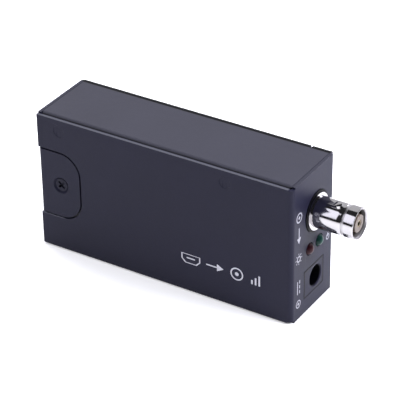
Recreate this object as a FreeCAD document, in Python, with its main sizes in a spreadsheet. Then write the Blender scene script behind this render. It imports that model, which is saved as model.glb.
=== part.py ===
import FreeCAD, Part
import math
import os
import Sketcher
from FreeCAD import Placement, Rotation, Vector

# Pocket-sized video converter in a folded sheet-metal casing.
# The grid that the pieces are laid out on starts at the casing's left, front, bottom corner:
# X runs along the length to the coaxial socket, Y from the front panel to the back panel, Z up.
# The finished model is then shifted so that its origin is the middle of the casing's footprint.

doc = FreeCAD.newDocument("video_converter")
sheet = doc.addObject("Spreadsheet::Sheet", "Sizes")

# Driving dimensions in millimetres.
DRIVING = {
    # Casing
    "case_length": 85.7,
    "case_depth": 23.9,
    "case_height": 45.0,
    "sheet": 1.0,
    "seam": 0.15,
    "edge_play": 0.05,
    "front_drop": 0.45,
    "end_fold": 1.5,
    "back_fold": 1.3,
    "tab_fold": 1.1,
    "channel_fold": 1.5,
    "fold_relief": 0.65,
    "back_setback": 0.65,
    "nick_inset": 6.95,
    "nick_width": 0.5,
    "nick_depth": 0.6,
    "weld_mark_radius": 1.9,
    "weld_mark_depth": 0.08,
    "weld_mark_left": 7.7,
    "weld_mark_pitch": 56.3,
    "weld_mark_drop": 4.2,
    # Fold-over tab and the one case screw
    "tab_length": 14.2,
    "tab_height": 21.5,
    "tab_corner": 6.6,
    "tab_gap": 0.5,
    "tab_middle": 22.5,
    "screw_inset": 7.5,
    "screw_head_radius": 2.1,
    "screw_radius": 1.45,
    "screw_length": 4.4,
    "screw_sink": 0.35,
    "sink_play": 0.25,
    "screw_hole_play": 0.3,
    "recess_span": 2.7,
    "recess_width": 0.7,
    "recess_depth": 0.9,
    "recess_turn": 45.0,
    "nut_radius": 3.1,
    "nut_height": 1.8,
    "thread_play": 0.05,
    # Circuit board and its four standoffs
    "board_face": 7.2,
    "board_thickness": 1.6,
    "board_left": 1.5,
    "board_right_gap": 1.0,
    "board_margin": 1.6,
    "standoff_radius": 2.5,
    "standoff_bore": 1.25,
    "standoff_left": 6.5,
    "standoff_pitch_x": 53.0,
    "standoff_inset": 4.4,
    "board_screw_play": 0.05,
    "board_screw_head": 2.2,
    "board_screw_head_height": 1.5,
    "board_screw_reach": 2.6,
    "pin_play": 0.1,
    "pin_tail": 1.0,
    # Coaxial socket
    "socket_height": 31.1,
    "socket_stand": 6.6,
    "socket_reach": 13.8,
    "socket_housing_width": 13.6,
    "socket_housing_depth": 13.2,
    "socket_housing_height": 13.2,
    "socket_housing_edge": 0.6,
    "collar_radius": 6.3,
    "collar_proud": 0.3,
    "collar_play": 0.08,
    "flange_radius": 5.6,
    "flange_thickness": 0.4,
    "barrel_radius": 4.7,
    "barrel_play": 0.05,
    "barrel_tail": 9.0,
    "nose_radius": 4.8,
    "nose_length": 3.1,
    "groove_width": 0.9,
    "groove_depth": 0.45,
    "shoulder_length": 1.4,
    "shoulder_drop": 0.2,
    "rim_chamfer": 0.1,
    "mouth_chamfer": 0.5,
    "mouth_radius": 4.06,
    "mouth_depth": 8.8,
    "throat_radius": 3.2,
    "lug_radius": 1.05,
    "lug_span": 11.1,
    "lug_setback": 6.2,
    "lug_turn": 15.0,
    "insulator_play": 0.05,
    "insulator_shelf": 1.4,
    "insulator_nose_radius": 2.6,
    "insulator_nose_setback": 0.35,
    "contact_radius": 1.1,
    "contact_bore": 0.7,
    "contact_bore_depth": 5.0,
    "contact_setback": 0.45,
    "contact_play": 0.05,
    "tail_radius": 0.45,
    "tail_gap": 0.9,
    "leg_radius": 0.5,
    "leg_inset": 2.2,
    # Two indicator lamps in one upright holder
    "lamp_height": 20.4,
    "lamp_stand": 2.9,
    "lamp_pitch": 5.5,
    "lamp_radius": 1.85,
    "lamp_hole_play": 0.15,
    "lamp_proud": 1.15,
    "lamp_length": 5.4,
    "lamp_rim": 0.25,
    "lamp_rim_length": 0.8,
    "holder_width": 5.2,
    "holder_depth": 8.4,
    "holder_top": 2.6,
    "holder_gap": 0.2,
    "lead_radius": 0.25,
    "lead_pitch": 2.54,
    "lead_step": 2.0,
    "lead_out": 1.2,
    # Direct-current inlet
    "inlet_height": 9.5,
    "inlet_width": 9.0,
    "inlet_body_height": 11.0,
    "inlet_depth": 14.2,
    "inlet_stand": 6.5,
    "inlet_play": 0.15,
    "inlet_bore": 3.2,
    "inlet_bore_depth": 10.5,
    "inlet_chamfer": 0.35,
    "inlet_block": 3.4,
    "inlet_shoulder": 0.35,
    "inlet_pin_radius": 1.0,
    "inlet_pin_setback": 3.5,
    "blade_thickness": 0.5,
    "blade_width": 2.2,
    "blade_gap": 0.1,
    "spring_thickness": 0.3,
    "spring_width": 1.7,
    "spring_length": 7.5,
    "spring_seat": 0.06,
    # Digital video socket at the left end
    "video_width": 15.0,
    "video_height": 5.7,
    "video_wall": 0.35,
    "video_chamfer": 1.3,
    "video_depth": 11.3,
    "video_inset": 0.25,
    "video_play": 0.3,
    "video_seat": 0.05,
    "video_fit": 0.05,
    "tongue_width": 11.6,
    "tongue_thickness": 1.7,
    "tongue_inset": 1.3,
    "tongue_block": 4.2,
    "strip_width": 0.42,
    "strip_thickness": 0.1,
    "strip_pitch": 1.0,
    "strip_setback": 0.5,
    "shell_leg_width": 1.0,
    "shell_leg_inset": 2.2,
    "shell_leg_pitch": 6.0,
    # Chips and small parts on the board
    "solder_gap": 0.05,
    "receiver_side": 12.0,
    "receiver_height": 1.4,
    "receiver_x": 27.5,
    "receiver_lead_pitch": 0.65,
    "controller_length": 6.5,
    "controller_width": 4.4,
    "controller_height": 1.0,
    "controller_x": 27.0,
    "controller_drop": 13.5,
    "controller_lead_pitch": 0.65,
    "lead_width": 0.26,
    "lead_foot": 0.6,
    "lead_reach": 1.0,
    "lead_thickness": 0.15,
    "converter_side": 13.0,
    "converter_height": 1.5,
    "converter_x": 45.5,
    "chip_rise": 2.0,
    "driver_side": 4.0,
    "driver_height": 0.9,
    "driver_x": 60.0,
    "driver_rise": 6.5,
    "regulator_length": 6.5,
    "regulator_width": 3.5,
    "regulator_height": 1.7,
    "regulator_gap": 1.4,
    "regulator_pitch": 8.0,
    "inductor_side": 5.2,
    "inductor_height": 3.0,
    "inductor_gap": 3.6,
    "can_radius": 3.15,
    "can_height": 5.4,
    "can_base_side": 6.6,
    "can_base_height": 0.7,
    "can_top_chamfer": 0.3,
    "can_margin": 1.0,
    "can_gap": 1.0,
    "crystal_length": 5.0,
    "crystal_width": 3.2,
    "crystal_height": 1.1,
    "crystal_gap": 2.0,
    "small_length": 1.6,
    "small_width": 0.8,
    "capacitor_height": 0.8,
    "resistor_height": 0.45,
    "small_pitch": 2.4,
    "surge_length": 2.9,
    "surge_width": 1.6,
    "surge_height": 1.1,
    "surge_pitch": 4.2,
}

# How many of each repeated thing there are: contacts in a row, leads along one side of a
# chip, and parts in each row or column on the board.
VIDEO_STRIP_COUNTS = (10, 9)
RECEIVER_LEAD_COUNT = 16
CONTROLLER_LEAD_COUNT = 9
CAN_COUNT = 3
INDUCTOR_COUNT = 3
REGULATOR_COUNT = 2
SURGE_ARRAY_COUNT = 4
RECEIVER_ROW_COUNT = 8
CONVERTER_ROW_COUNT = 6
CONVERTER_COLUMN_COUNT = 5

for row, (alias, value) in enumerate(DRIVING.items(), start=1):
    sheet.set("A%d" % row, alias)
    sheet.set("B%d" % row, str(value))
    sheet.setAlias("B%d" % row, alias)
doc.recompute()


class Size:
    """A length in millimetres that keeps the sheet expression it comes from."""

    def __init__(self, value, text):
        self.value = float(value)
        self.text = text

    def __add__(self, other):
        other = as_size(other)
        return Size(self.value + other.value, "(%s + %s)" % (self.text, other.text))

    def __radd__(self, other):
        return as_size(other) + self

    def __sub__(self, other):
        other = as_size(other)
        return Size(self.value - other.value, "(%s - %s)" % (self.text, other.text))

    def __rsub__(self, other):
        return as_size(other) - self

    def __mul__(self, other):
        other = as_size(other)
        return Size(self.value * other.value, "(%s * %s)" % (self.text, other.text))

    def __rmul__(self, other):
        return as_size(other) * self

    def __truediv__(self, other):
        other = as_size(other)
        return Size(self.value / other.value, "(%s / %s)" % (self.text, other.text))


def root_of(length):
    """Square root of a sum of squared sizes."""
    return Size(math.sqrt(length.value), "sqrt(%s)" % length.text)


def as_size(thing):
    """Lets a plain count or factor stand beside a named size."""
    if isinstance(thing, Size):
        return thing
    return Size(thing, str(float(thing)))


class Dimensions:
    """Reads each driving dimension back from the sheet by its name."""

    def __getattr__(self, name):
        return Size(sheet.get(name), "Sizes." + name)


d = Dimensions()
nodes = []

# Places that several pieces share.
end_face = d.case_length
end_inside = d.case_length - d.sheet
back_inside = d.case_depth - d.sheet
board_back = d.board_face - d.board_thickness
board_low = d.sheet + d.board_margin
board_high = d.case_height - d.sheet - d.board_margin
board_middle = d.case_height / 2
chip_level = board_middle + d.chip_rise
pin_end = board_back - d.pin_tail
socket_axis = d.board_face + d.socket_stand
inlet_axis = d.board_face + d.inlet_stand
wall_inside = 2 * d.sheet


def bind(thing, prop, length):
    """Ties one property of a document object to the sheet."""
    thing.setExpression(prop, as_size(length).text)


def place(thing, corner):
    """Puts an object at a grid point, seen from the middle of the casing's footprint."""
    shift = (d.case_length / 2, d.case_depth / 2, as_size(0))
    for letter, along, offset in zip("xyz", corner, shift):
        bind(thing, "Placement.Base." + letter, as_size(along) - offset)


def keep(label, thing):
    """Marks a finished piece and gives it the name of its file."""
    thing.Label = label
    nodes.append(thing)
    return thing


def box(name, low, high):
    """A block between two grid points."""
    solid = doc.addObject("Part::Box", name)
    for prop, start, end in zip(("Length", "Width", "Height"), low, high):
        bind(solid, prop, as_size(end) - as_size(start))
    place(solid, low)
    return solid


AXIS_TURNS = {
    "x": Rotation(Vector(0, 1, 0), 90),
    "y": Rotation(Vector(1, 0, 0), -90),
    "z": Rotation(),
}


def rod(name, axis, start, length, radius):
    """A cylinder that runs from a grid point along one axis."""
    solid = doc.addObject("Part::Cylinder", name)
    solid.Placement = Placement(Vector(), AXIS_TURNS[axis])
    bind(solid, "Radius", radius)
    bind(solid, "Height", length)
    place(solid, start)
    return solid


def cone(name, axis, start, length, start_radius, end_radius):
    """A cone's frustum that runs from a grid point along one axis."""
    solid = doc.addObject("Part::Cone", name)
    solid.Placement = Placement(Vector(), AXIS_TURNS[axis])
    bind(solid, "Radius1", start_radius)
    bind(solid, "Radius2", end_radius)
    bind(solid, "Height", length)
    place(solid, start)
    return solid


def fuse(name, parts):
    """Joins solids into one."""
    joined = doc.addObject("Part::MultiFuse", name)
    joined.Shapes = parts
    joined.Refine = True
    return joined


def group(name, parts):
    """Keeps separate solids together in one object."""
    together = doc.addObject("Part::Compound", name)
    together.Links = parts
    return together


def cut(name, base, tools):
    """Takes tools away from a base."""
    result = doc.addObject("Part::Cut", name)
    result.Base = base
    result.Tool = tools[0] if len(tools) == 1 else group(name + "_tools", tools)
    result.Refine = True
    return result


def new_body(name):
    """A sketched body whose own axes are the grid's."""
    body = doc.addObject("PartDesign::Body", name)
    place(body, (0, 0, 0))
    return body


def new_sketch(body, name, role, lift=None):
    """A sketch on one of the body's own planes, lifted along the plane's normal."""
    sketch = body.newObject("Sketcher::SketchObject", name)
    plane = [item for item in body.Origin.OriginFeatures if item.Role == role][0]
    sketch.AttachmentSupport = (plane, [""])
    sketch.MapMode = "FlatFace"
    if lift is not None:
        bind(sketch, "AttachmentOffset.Base.z", lift)
    return sketch


def pin_point(sketch, geometry, end, across, up):
    """Fixes one point of a sketch at named distances from the origin."""
    for kind, axis, distance in (("DistanceX", -2, across), ("DistanceY", -1, up)):
        distance = as_size(distance)
        if distance.value == 0:
            sketch.addConstraint(Sketcher.Constraint("PointOnObject", geometry, end, axis))
        else:
            index = sketch.addConstraint(
                Sketcher.Constraint(kind, -1, 1, geometry, end, distance.value))
            bind(sketch, "Constraints[%d]" % index, distance)


def step_from(corner, other):
    """The point on a rounded square corner's side where its arc begins, towards a neighbour."""
    across = as_size(other[0]) - corner[0]
    up = as_size(other[1]) - corner[1]
    if abs(across.value) > abs(up.value):
        return (corner[0] + math.copysign(1, across.value) * corner[2], corner[1])
    return (corner[0], corner[1] + math.copysign(1, up.value) * corner[2])


def flat_point(spot):
    """A place in a sketch as plain millimetres."""
    return Vector(as_size(spot[0]).value, as_size(spot[1]).value, 0)


def outline(sketch, corners):
    """A closed outline. A square corner with a third value is rounded by that radius."""
    count = len(corners)
    stops = []
    for index, corner in enumerate(corners):
        if len(corner) == 3:
            stops.append((step_from(corner, corners[index - 1]),
                          step_from(corner, corners[(index + 1) % count])))
        else:
            stops.append((corner, corner))
    lines = []
    for index, (arrive, leave) in enumerate(stops):
        goal = stops[(index + 1) % count][0]
        line = sketch.addGeometry(Part.LineSegment(flat_point(leave), flat_point(goal)))
        pin_point(sketch, line, 1, leave[0], leave[1])
        lines.append(line)
    for index, (arrive, leave) in enumerate(stops):
        if len(corners[index]) == 2:
            sketch.addConstraint(
                Sketcher.Constraint("Coincident", lines[index - 1], 2, lines[index], 1))
            continue
        radius = corners[index][2]
        corner = flat_point(corners[index])
        first = flat_point(arrive)
        last = flat_point(leave)
        centre = first + last - corner
        start = math.atan2(first.y - centre.y, first.x - centre.x)
        stop = math.atan2(last.y - centre.y, last.x - centre.x)
        leftward = math.sin(stop - start) > 0
        circle = Part.Circle(centre, Vector(0, 0, 1), radius.value)
        span = (start, stop) if leftward else (stop, start)
        arc = sketch.addGeometry(Part.ArcOfCircle(circle, span[0], span[1]))
        near, far = (1, 2) if leftward else (2, 1)
        pin_point(sketch, lines[index - 1], 2, arrive[0], arrive[1])
        sketch.addConstraint(Sketcher.Constraint("Coincident", arc, near, lines[index - 1], 2))
        sketch.addConstraint(Sketcher.Constraint("Coincident", arc, far, lines[index], 1))
        fixed = sketch.addConstraint(Sketcher.Constraint("Radius", arc, radius.value))
        bind(sketch, "Constraints[%d]" % fixed, radius)


def ring(sketch, across, up, radius):
    """A circle whose centre and radius are named sizes."""
    centre = Vector(as_size(across).value, as_size(up).value, 0)
    circle = sketch.addGeometry(Part.Circle(centre, Vector(0, 0, 1), radius.value))
    pin_point(sketch, circle, 3, across, up)
    fixed = sketch.addConstraint(Sketcher.Constraint("Radius", circle, radius.value))
    bind(sketch, "Constraints[%d]" % fixed, radius)


def pad(body, sketch, length, backward=False):
    """Adds a sketch's outline as solid material."""
    feature = body.newObject("PartDesign::Pad", sketch.Name + "_pad")
    feature.Profile = sketch
    feature.Reversed = backward
    bind(feature, "Length", length)
    sketch.Visibility = False
    doc.recompute()
    return feature


def pocket(body, sketch, depth=None, backward=False):
    """Cuts a sketch's outline away, right through or to a depth, and checks that it cut."""
    before = body.Shape.Volume
    feature = body.newObject("PartDesign::Pocket", sketch.Name + "_pocket")
    feature.Profile = sketch
    if depth is None:
        feature.Type = "ThroughAll"
        feature.Midplane = True
    else:
        feature.Reversed = backward
        bind(feature, "Length", depth)
    doc.recompute()
    if not body.Shape.Volume < before:
        raise RuntimeError(sketch.Name + " cuts nothing")
    return feature


# Front shell: front panel and connector end, one sheet with one fold.
def make_front_shell():
    body = new_body("front_shell")
    plan = new_sketch(body, "front_plan", "XY_Plane")
    end_edge = back_inside - d.edge_play
    outline(plan, [
        (0, 0),
        (end_face, 0, d.end_fold),
        (end_face, end_edge),
        (end_inside, end_edge),
        (end_inside, d.sheet, d.end_fold - d.sheet),
        (0, d.sheet),
    ])
    pad(body, plan, d.case_height)

    # The front panel stops a little short of the end panel's edges.
    fold_start = end_face - d.end_fold
    trims = new_sketch(body, "front_trims", "XZ_Plane")
    top = d.case_height - d.front_drop
    outline(trims, [(0, 0), (fold_start, 0), (fold_start, d.front_drop), (0, d.front_drop)])
    outline(trims, [(0, top), (fold_start, top), (fold_start, d.case_height), (0, d.case_height)])
    pocket(body, trims)

    # A relief notch frees each end of the fold.
    reliefs = new_sketch(body, "fold_reliefs", "XZ_Plane")
    notch_top = d.case_height - d.fold_relief
    outline(reliefs, [(fold_start, 0), (end_face, 0), (end_face, d.fold_relief),
                      (fold_start, d.fold_relief)])
    outline(reliefs, [(fold_start, notch_top), (end_face, notch_top),
                      (end_face, d.case_height), (fold_start, d.case_height)])
    pocket(body, reliefs, d.end_fold)

    # The cut-out that the tab lies in is open to the left edge.
    mouth = new_sketch(body, "tab_cutout", "XZ_Plane")
    reach = d.tab_length + d.tab_gap
    half = d.tab_height / 2 + d.tab_gap
    corner = d.tab_corner + d.tab_gap
    outline(mouth, [
        (0, d.tab_middle - half),
        (reach, d.tab_middle - half, corner),
        (reach, d.tab_middle + half, corner),
        (0, d.tab_middle + half),
    ])
    pocket(body, mouth)

    # Round witness marks where the panel is welded to the channel behind it.
    marks = new_sketch(body, "weld_marks", "XZ_Plane")
    mark_height = d.case_height - d.weld_mark_drop
    ring(marks, d.weld_mark_left, mark_height, d.weld_mark_radius)
    ring(marks, d.weld_mark_left + d.weld_mark_pitch, mark_height, d.weld_mark_radius)
    pocket(body, marks, d.weld_mark_depth)

    # Openings of the connector end.
    holes = new_sketch(body, "end_holes", "YZ_Plane")
    ring(holes, socket_axis, d.socket_height, d.collar_radius + d.collar_play)
    lamp_hole = d.lamp_radius + d.lamp_hole_play
    ring(holes, d.board_face + d.lamp_stand, d.lamp_height, lamp_hole)
    ring(holes, d.board_face + d.lamp_stand + d.lamp_pitch, d.lamp_height, lamp_hole)
    side = d.inlet_width / 2 + d.inlet_play
    near = d.board_face - d.inlet_play
    far = d.board_face + d.inlet_body_height + d.inlet_play
    outline(holes, [
        (near, d.inlet_height - side),
        (far, d.inlet_height - side),
        (far, d.inlet_height + side),
        (near, d.inlet_height + side),
    ])
    pocket(body, holes)
    keep("front_shell", body)


# Back shell: back panel, video end and the tab that folds onto the front.
def make_back_shell():
    body = new_body("back_sheet")
    plan = new_sketch(body, "back_plan", "XY_Plane")
    plate_edge = d.sheet + d.edge_play
    right_edge = end_face - d.back_setback
    outline(plan, [
        (0, plate_edge),
        (d.sheet, plate_edge),
        (d.sheet, back_inside, d.back_fold - d.sheet),
        (right_edge, back_inside),
        (right_edge, d.case_depth),
        (0, d.case_depth, d.back_fold),
    ])
    pad(body, plan, d.case_height)

    # The fold that carries the tab round the front-left edge.
    tab_low = d.tab_middle - d.tab_height / 2
    fold = new_sketch(body, "tab_bend", "XY_Plane", tab_low)
    root = plate_edge + d.sheet
    outline(fold, [
        (0, 0, d.tab_fold),
        (2 * d.sheet, 0),
        (2 * d.sheet, d.sheet),
        (d.sheet, d.sheet, d.tab_fold - d.sheet),
        (d.sheet, root),
        (0, root),
    ])
    pad(body, fold, d.tab_height)

    # The flat of the tab, with its two round corners.
    flat = new_sketch(body, "tab_flat", "XZ_Plane")
    outline(flat, [
        (d.tab_fold, tab_low),
        (d.tab_length, tab_low, d.tab_corner),
        (d.tab_length, tab_low + d.tab_height, d.tab_corner),
        (d.tab_fold, tab_low + d.tab_height),
    ])
    pad(body, flat, d.sheet, backward=True)

    # The opening of the video socket, its lower corners cut off like the socket's.
    window = new_sketch(body, "video_window", "YZ_Plane")
    low_y = d.board_face + d.video_seat - d.video_play
    high_y = d.board_face + d.video_seat + d.video_height + d.video_play
    half = d.video_width / 2 + d.video_play
    nip = d.video_chamfer
    outline(window, [
        (low_y, d.tab_middle - half + nip),
        (low_y + nip, d.tab_middle - half),
        (high_y, d.tab_middle - half),
        (high_y, d.tab_middle + half),
        (low_y + nip, d.tab_middle + half),
        (low_y, d.tab_middle + half - nip),
    ])
    pocket(body, window)

    # A small nick in the upper edge of the back panel.
    nick = new_sketch(body, "edge_nick", "XZ_Plane")
    nick_right = end_face - d.nick_inset
    nick_low = d.case_height - d.nick_depth
    outline(nick, [
        (nick_right - d.nick_width, nick_low),
        (nick_right, nick_low),
        (nick_right, d.case_height),
        (nick_right - d.nick_width, d.case_height),
    ])
    pocket(body, nick)

    # The countersink in the tab.
    sink_radius = d.screw_head_radius + d.screw_sink + d.sink_play
    centre = (d.screw_inset, 0, d.tab_middle)
    sink = cone("tab_sink", "y", centre, d.sheet, sink_radius, sink_radius - d.sheet)
    keep("back_shell", cut("back_shell", body, [sink]))


# Inner channel: the wall behind the front panel with the narrow top and bottom.
def make_inner_channel():
    body = new_body("channel_sheet")
    start = d.sheet + d.seam
    section = new_sketch(body, "channel_section", "YZ_Plane", start)
    lip = back_inside - d.seam
    bend = d.channel_fold
    inner_bend = d.channel_fold - d.sheet
    outline(section, [
        (lip, 0),
        (lip, d.sheet),
        (wall_inside, d.sheet, inner_bend),
        (wall_inside, d.case_height - d.sheet, inner_bend),
        (lip, d.case_height - d.sheet),
        (lip, d.case_height),
        (d.sheet, d.case_height, bend),
        (d.sheet, 0, bend),
    ])
    pad(body, section, end_inside - d.seam - start)
    hole_radius = d.screw_radius + d.screw_hole_play
    hole = rod("channel_hole", "y", (d.screw_inset, d.sheet, d.tab_middle), d.sheet, hole_radius)

    # The wall stops short of the round inside of the front shell's fold.
    inside_fold = d.end_fold - d.sheet + d.edge_play
    clearance = box("fold_clearance", (end_inside - inside_fold, d.sheet, 0),
                    (end_inside, d.sheet + inside_fold, d.case_height))
    keep("inner_channel", cut("inner_channel", body, [hole, clearance]))


def screw_recess():
    """The screw's cross recess: two crossed slots, turned about the screw's own axis."""
    arms = []
    for name, across, up in (("recess_flat", d.recess_span, d.recess_width),
                             ("recess_upright", d.recess_width, d.recess_span)):
        arm = doc.addObject("Part::Box", name)
        bind(arm, "Length", across)
        bind(arm, "Width", d.screw_sink + d.recess_depth)
        bind(arm, "Height", up)
        bind(arm, "Placement.Base.x", 0 - across / 2)
        bind(arm, "Placement.Base.z", 0 - up / 2)
        arms.append(arm)
    cross = group("screw_recess", arms)
    cross.Placement = Placement(Vector(), Rotation(Vector(0, 1, 0), d.recess_turn.value))
    place(cross, (d.screw_inset, 0, d.tab_middle))
    return cross


# The countersunk case screw and the clinch nut behind the channel's wall.
def make_case_screw():
    head_depth = d.screw_head_radius - d.screw_radius
    middle = (d.screw_inset, d.screw_sink, d.tab_middle)
    head = cone("screw_head", "y", middle, head_depth, d.screw_head_radius, d.screw_radius)
    shank_start = (d.screw_inset, d.screw_sink + head_depth, d.tab_middle)
    shank = rod("screw_shank", "y", shank_start,
                d.screw_length - d.screw_sink - head_depth, d.screw_radius)
    whole = fuse("screw_blank", [head, shank])
    keep("case_screw", cut("case_screw", whole, [screw_recess()]))

    outer = rod("nut_body", "y", (d.screw_inset, wall_inside, d.tab_middle),
                d.nut_height, d.nut_radius)
    thread = rod("nut_thread", "y", (d.screw_inset, wall_inside, d.tab_middle),
                 d.nut_height, d.screw_radius + d.thread_play)
    keep("clinch_nut", cut("clinch_nut", outer, [thread]))


def standoff_points():
    """The four fixing points of the board, as grid X and Z."""
    return [(d.standoff_left + i * d.standoff_pitch_x, z) for i in range(2)
            for z in (board_low + d.standoff_inset, board_high - d.standoff_inset)]


def make_standoffs():
    posts = []
    screws = []
    height = board_back - wall_inside
    for index, (x, z) in enumerate(standoff_points()):
        tag = "_%d" % index
        post = rod("post" + tag, "y", (x, wall_inside, z), height, d.standoff_radius)
        bore = rod("post_bore" + tag, "y", (x, wall_inside, z), height, d.standoff_bore)
        posts.append(cut("standoff" + tag, post, [bore]))
        radius = d.standoff_bore - d.board_screw_play
        tip = board_back - d.board_screw_reach
        shank = rod("board_shank" + tag, "y", (x, tip, z), d.board_face - tip, radius)
        head = rod("board_head" + tag, "y", (x, d.board_face, z),
                   d.board_screw_head_height, d.board_screw_head)
        screws.append(fuse("board_screw" + tag, [shank, head]))
    keep("standoffs", group("standoffs", posts))
    keep("board_screws", group("board_screws", screws))


def socket_leg_points():
    """The four legs of the coaxial socket's housing, as grid X and Z."""
    front = end_inside - d.leg_inset
    rear = end_inside - d.socket_housing_depth + d.leg_inset
    half = d.socket_housing_width / 2 - d.leg_inset
    return [(x, d.socket_height + side * half) for x in (front, rear) for side in (-1, 1)]


def socket_tail_x():
    """Where the coaxial socket's inner contact turns down behind its housing."""
    return end_inside - d.socket_housing_depth - d.tail_gap - d.tail_radius


def lamp_lead_points():
    """Grid X, the lamp's number and grid Z of the four lamp leads."""
    holder_back = end_inside - d.holder_gap - d.holder_depth
    points = []
    for lamp in range(2):
        x = holder_back - d.lead_out - lamp * d.lead_step
        for side in (-1, 1):
            points.append((x, lamp, d.lamp_height + side * d.lead_pitch / 2))
    return points


def inlet_blade_x():
    """Front face of the upright terminals behind the direct-current inlet."""
    return end_face - d.inlet_depth - d.blade_gap


def spring_middle():
    """Grid Z of the inlet's leaf spring, which lies just inside the round bore."""
    chord = root_of(d.inlet_bore * d.inlet_bore - d.spring_width * d.spring_width / 4)
    return d.inlet_height + chord - d.spring_seat - d.spring_thickness / 2


def inlet_terminals():
    """Grid Z and width of the inlet's two terminals."""
    return [(d.inlet_height, d.blade_width), (spring_middle(), d.spring_thickness)]


def shell_leg_points():
    """Grid X and Z of the video socket's four shell legs."""
    half = d.video_width / 2 - d.video_wall / 2
    return [(d.video_inset + d.shell_leg_inset + i * d.shell_leg_pitch,
             d.tab_middle + side * half) for i in range(2) for side in (-1, 1)]


# Circuit board with every hole that a leg or screw passes through.
def make_board():
    blank = box("board_blank", (d.board_left, board_back, board_low),
                (end_inside - d.board_right_gap, d.board_face, board_high))
    holes = []

    def drill(x, z, radius):
        name = "board_hole_%d" % len(holes)
        holes.append(rod(name, "y", (x, board_back, z), d.board_thickness, radius))

    for x, z in standoff_points():
        drill(x, z, d.standoff_bore)
    for x, z in socket_leg_points():
        drill(x, z, d.leg_radius + d.pin_play)
    drill(socket_tail_x(), d.socket_height, d.tail_radius + d.pin_play)
    for x, lamp, z in lamp_lead_points():
        drill(x, z, d.lead_radius + d.pin_play)
    slots = []
    blade_x = inlet_blade_x()
    for z, width in inlet_terminals():
        half = width / 2 + d.pin_play
        slots.append(box("blade_slot_%d" % len(slots),
                         (blade_x - d.blade_thickness - d.pin_play, board_back, z - half),
                         (blade_x + d.pin_play, d.board_face, z + half)))
    for x, z in shell_leg_points():
        half_x = d.shell_leg_width / 2 + d.pin_play
        half_z = d.video_wall / 2 + d.pin_play
        slots.append(box("leg_slot_%d" % len(slots), (x - half_x, board_back, z - half_z),
                         (x + half_x, d.board_face, z + half_z)))
    keep("circuit_board", cut("circuit_board", blank, holes + slots))


def revolved(name, profile, axis_y, axis_z):
    """Turns a closed profile of (grid X, radius) pairs once round a line along X."""
    body = doc.addObject("PartDesign::Body", name)
    place(body, (0, axis_y, axis_z))
    sketch = new_sketch(body, name + "_profile", "XY_Plane")
    outline(sketch, profile)
    turn = body.newObject("PartDesign::Revolution", name + "_turn")
    turn.Profile = sketch
    axis = [item for item in body.Origin.OriginFeatures if item.Role == "X_Axis"][0]
    turn.ReferenceAxis = (axis, [""])
    turn.Angle = 360
    doc.recompute()
    return body


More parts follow.
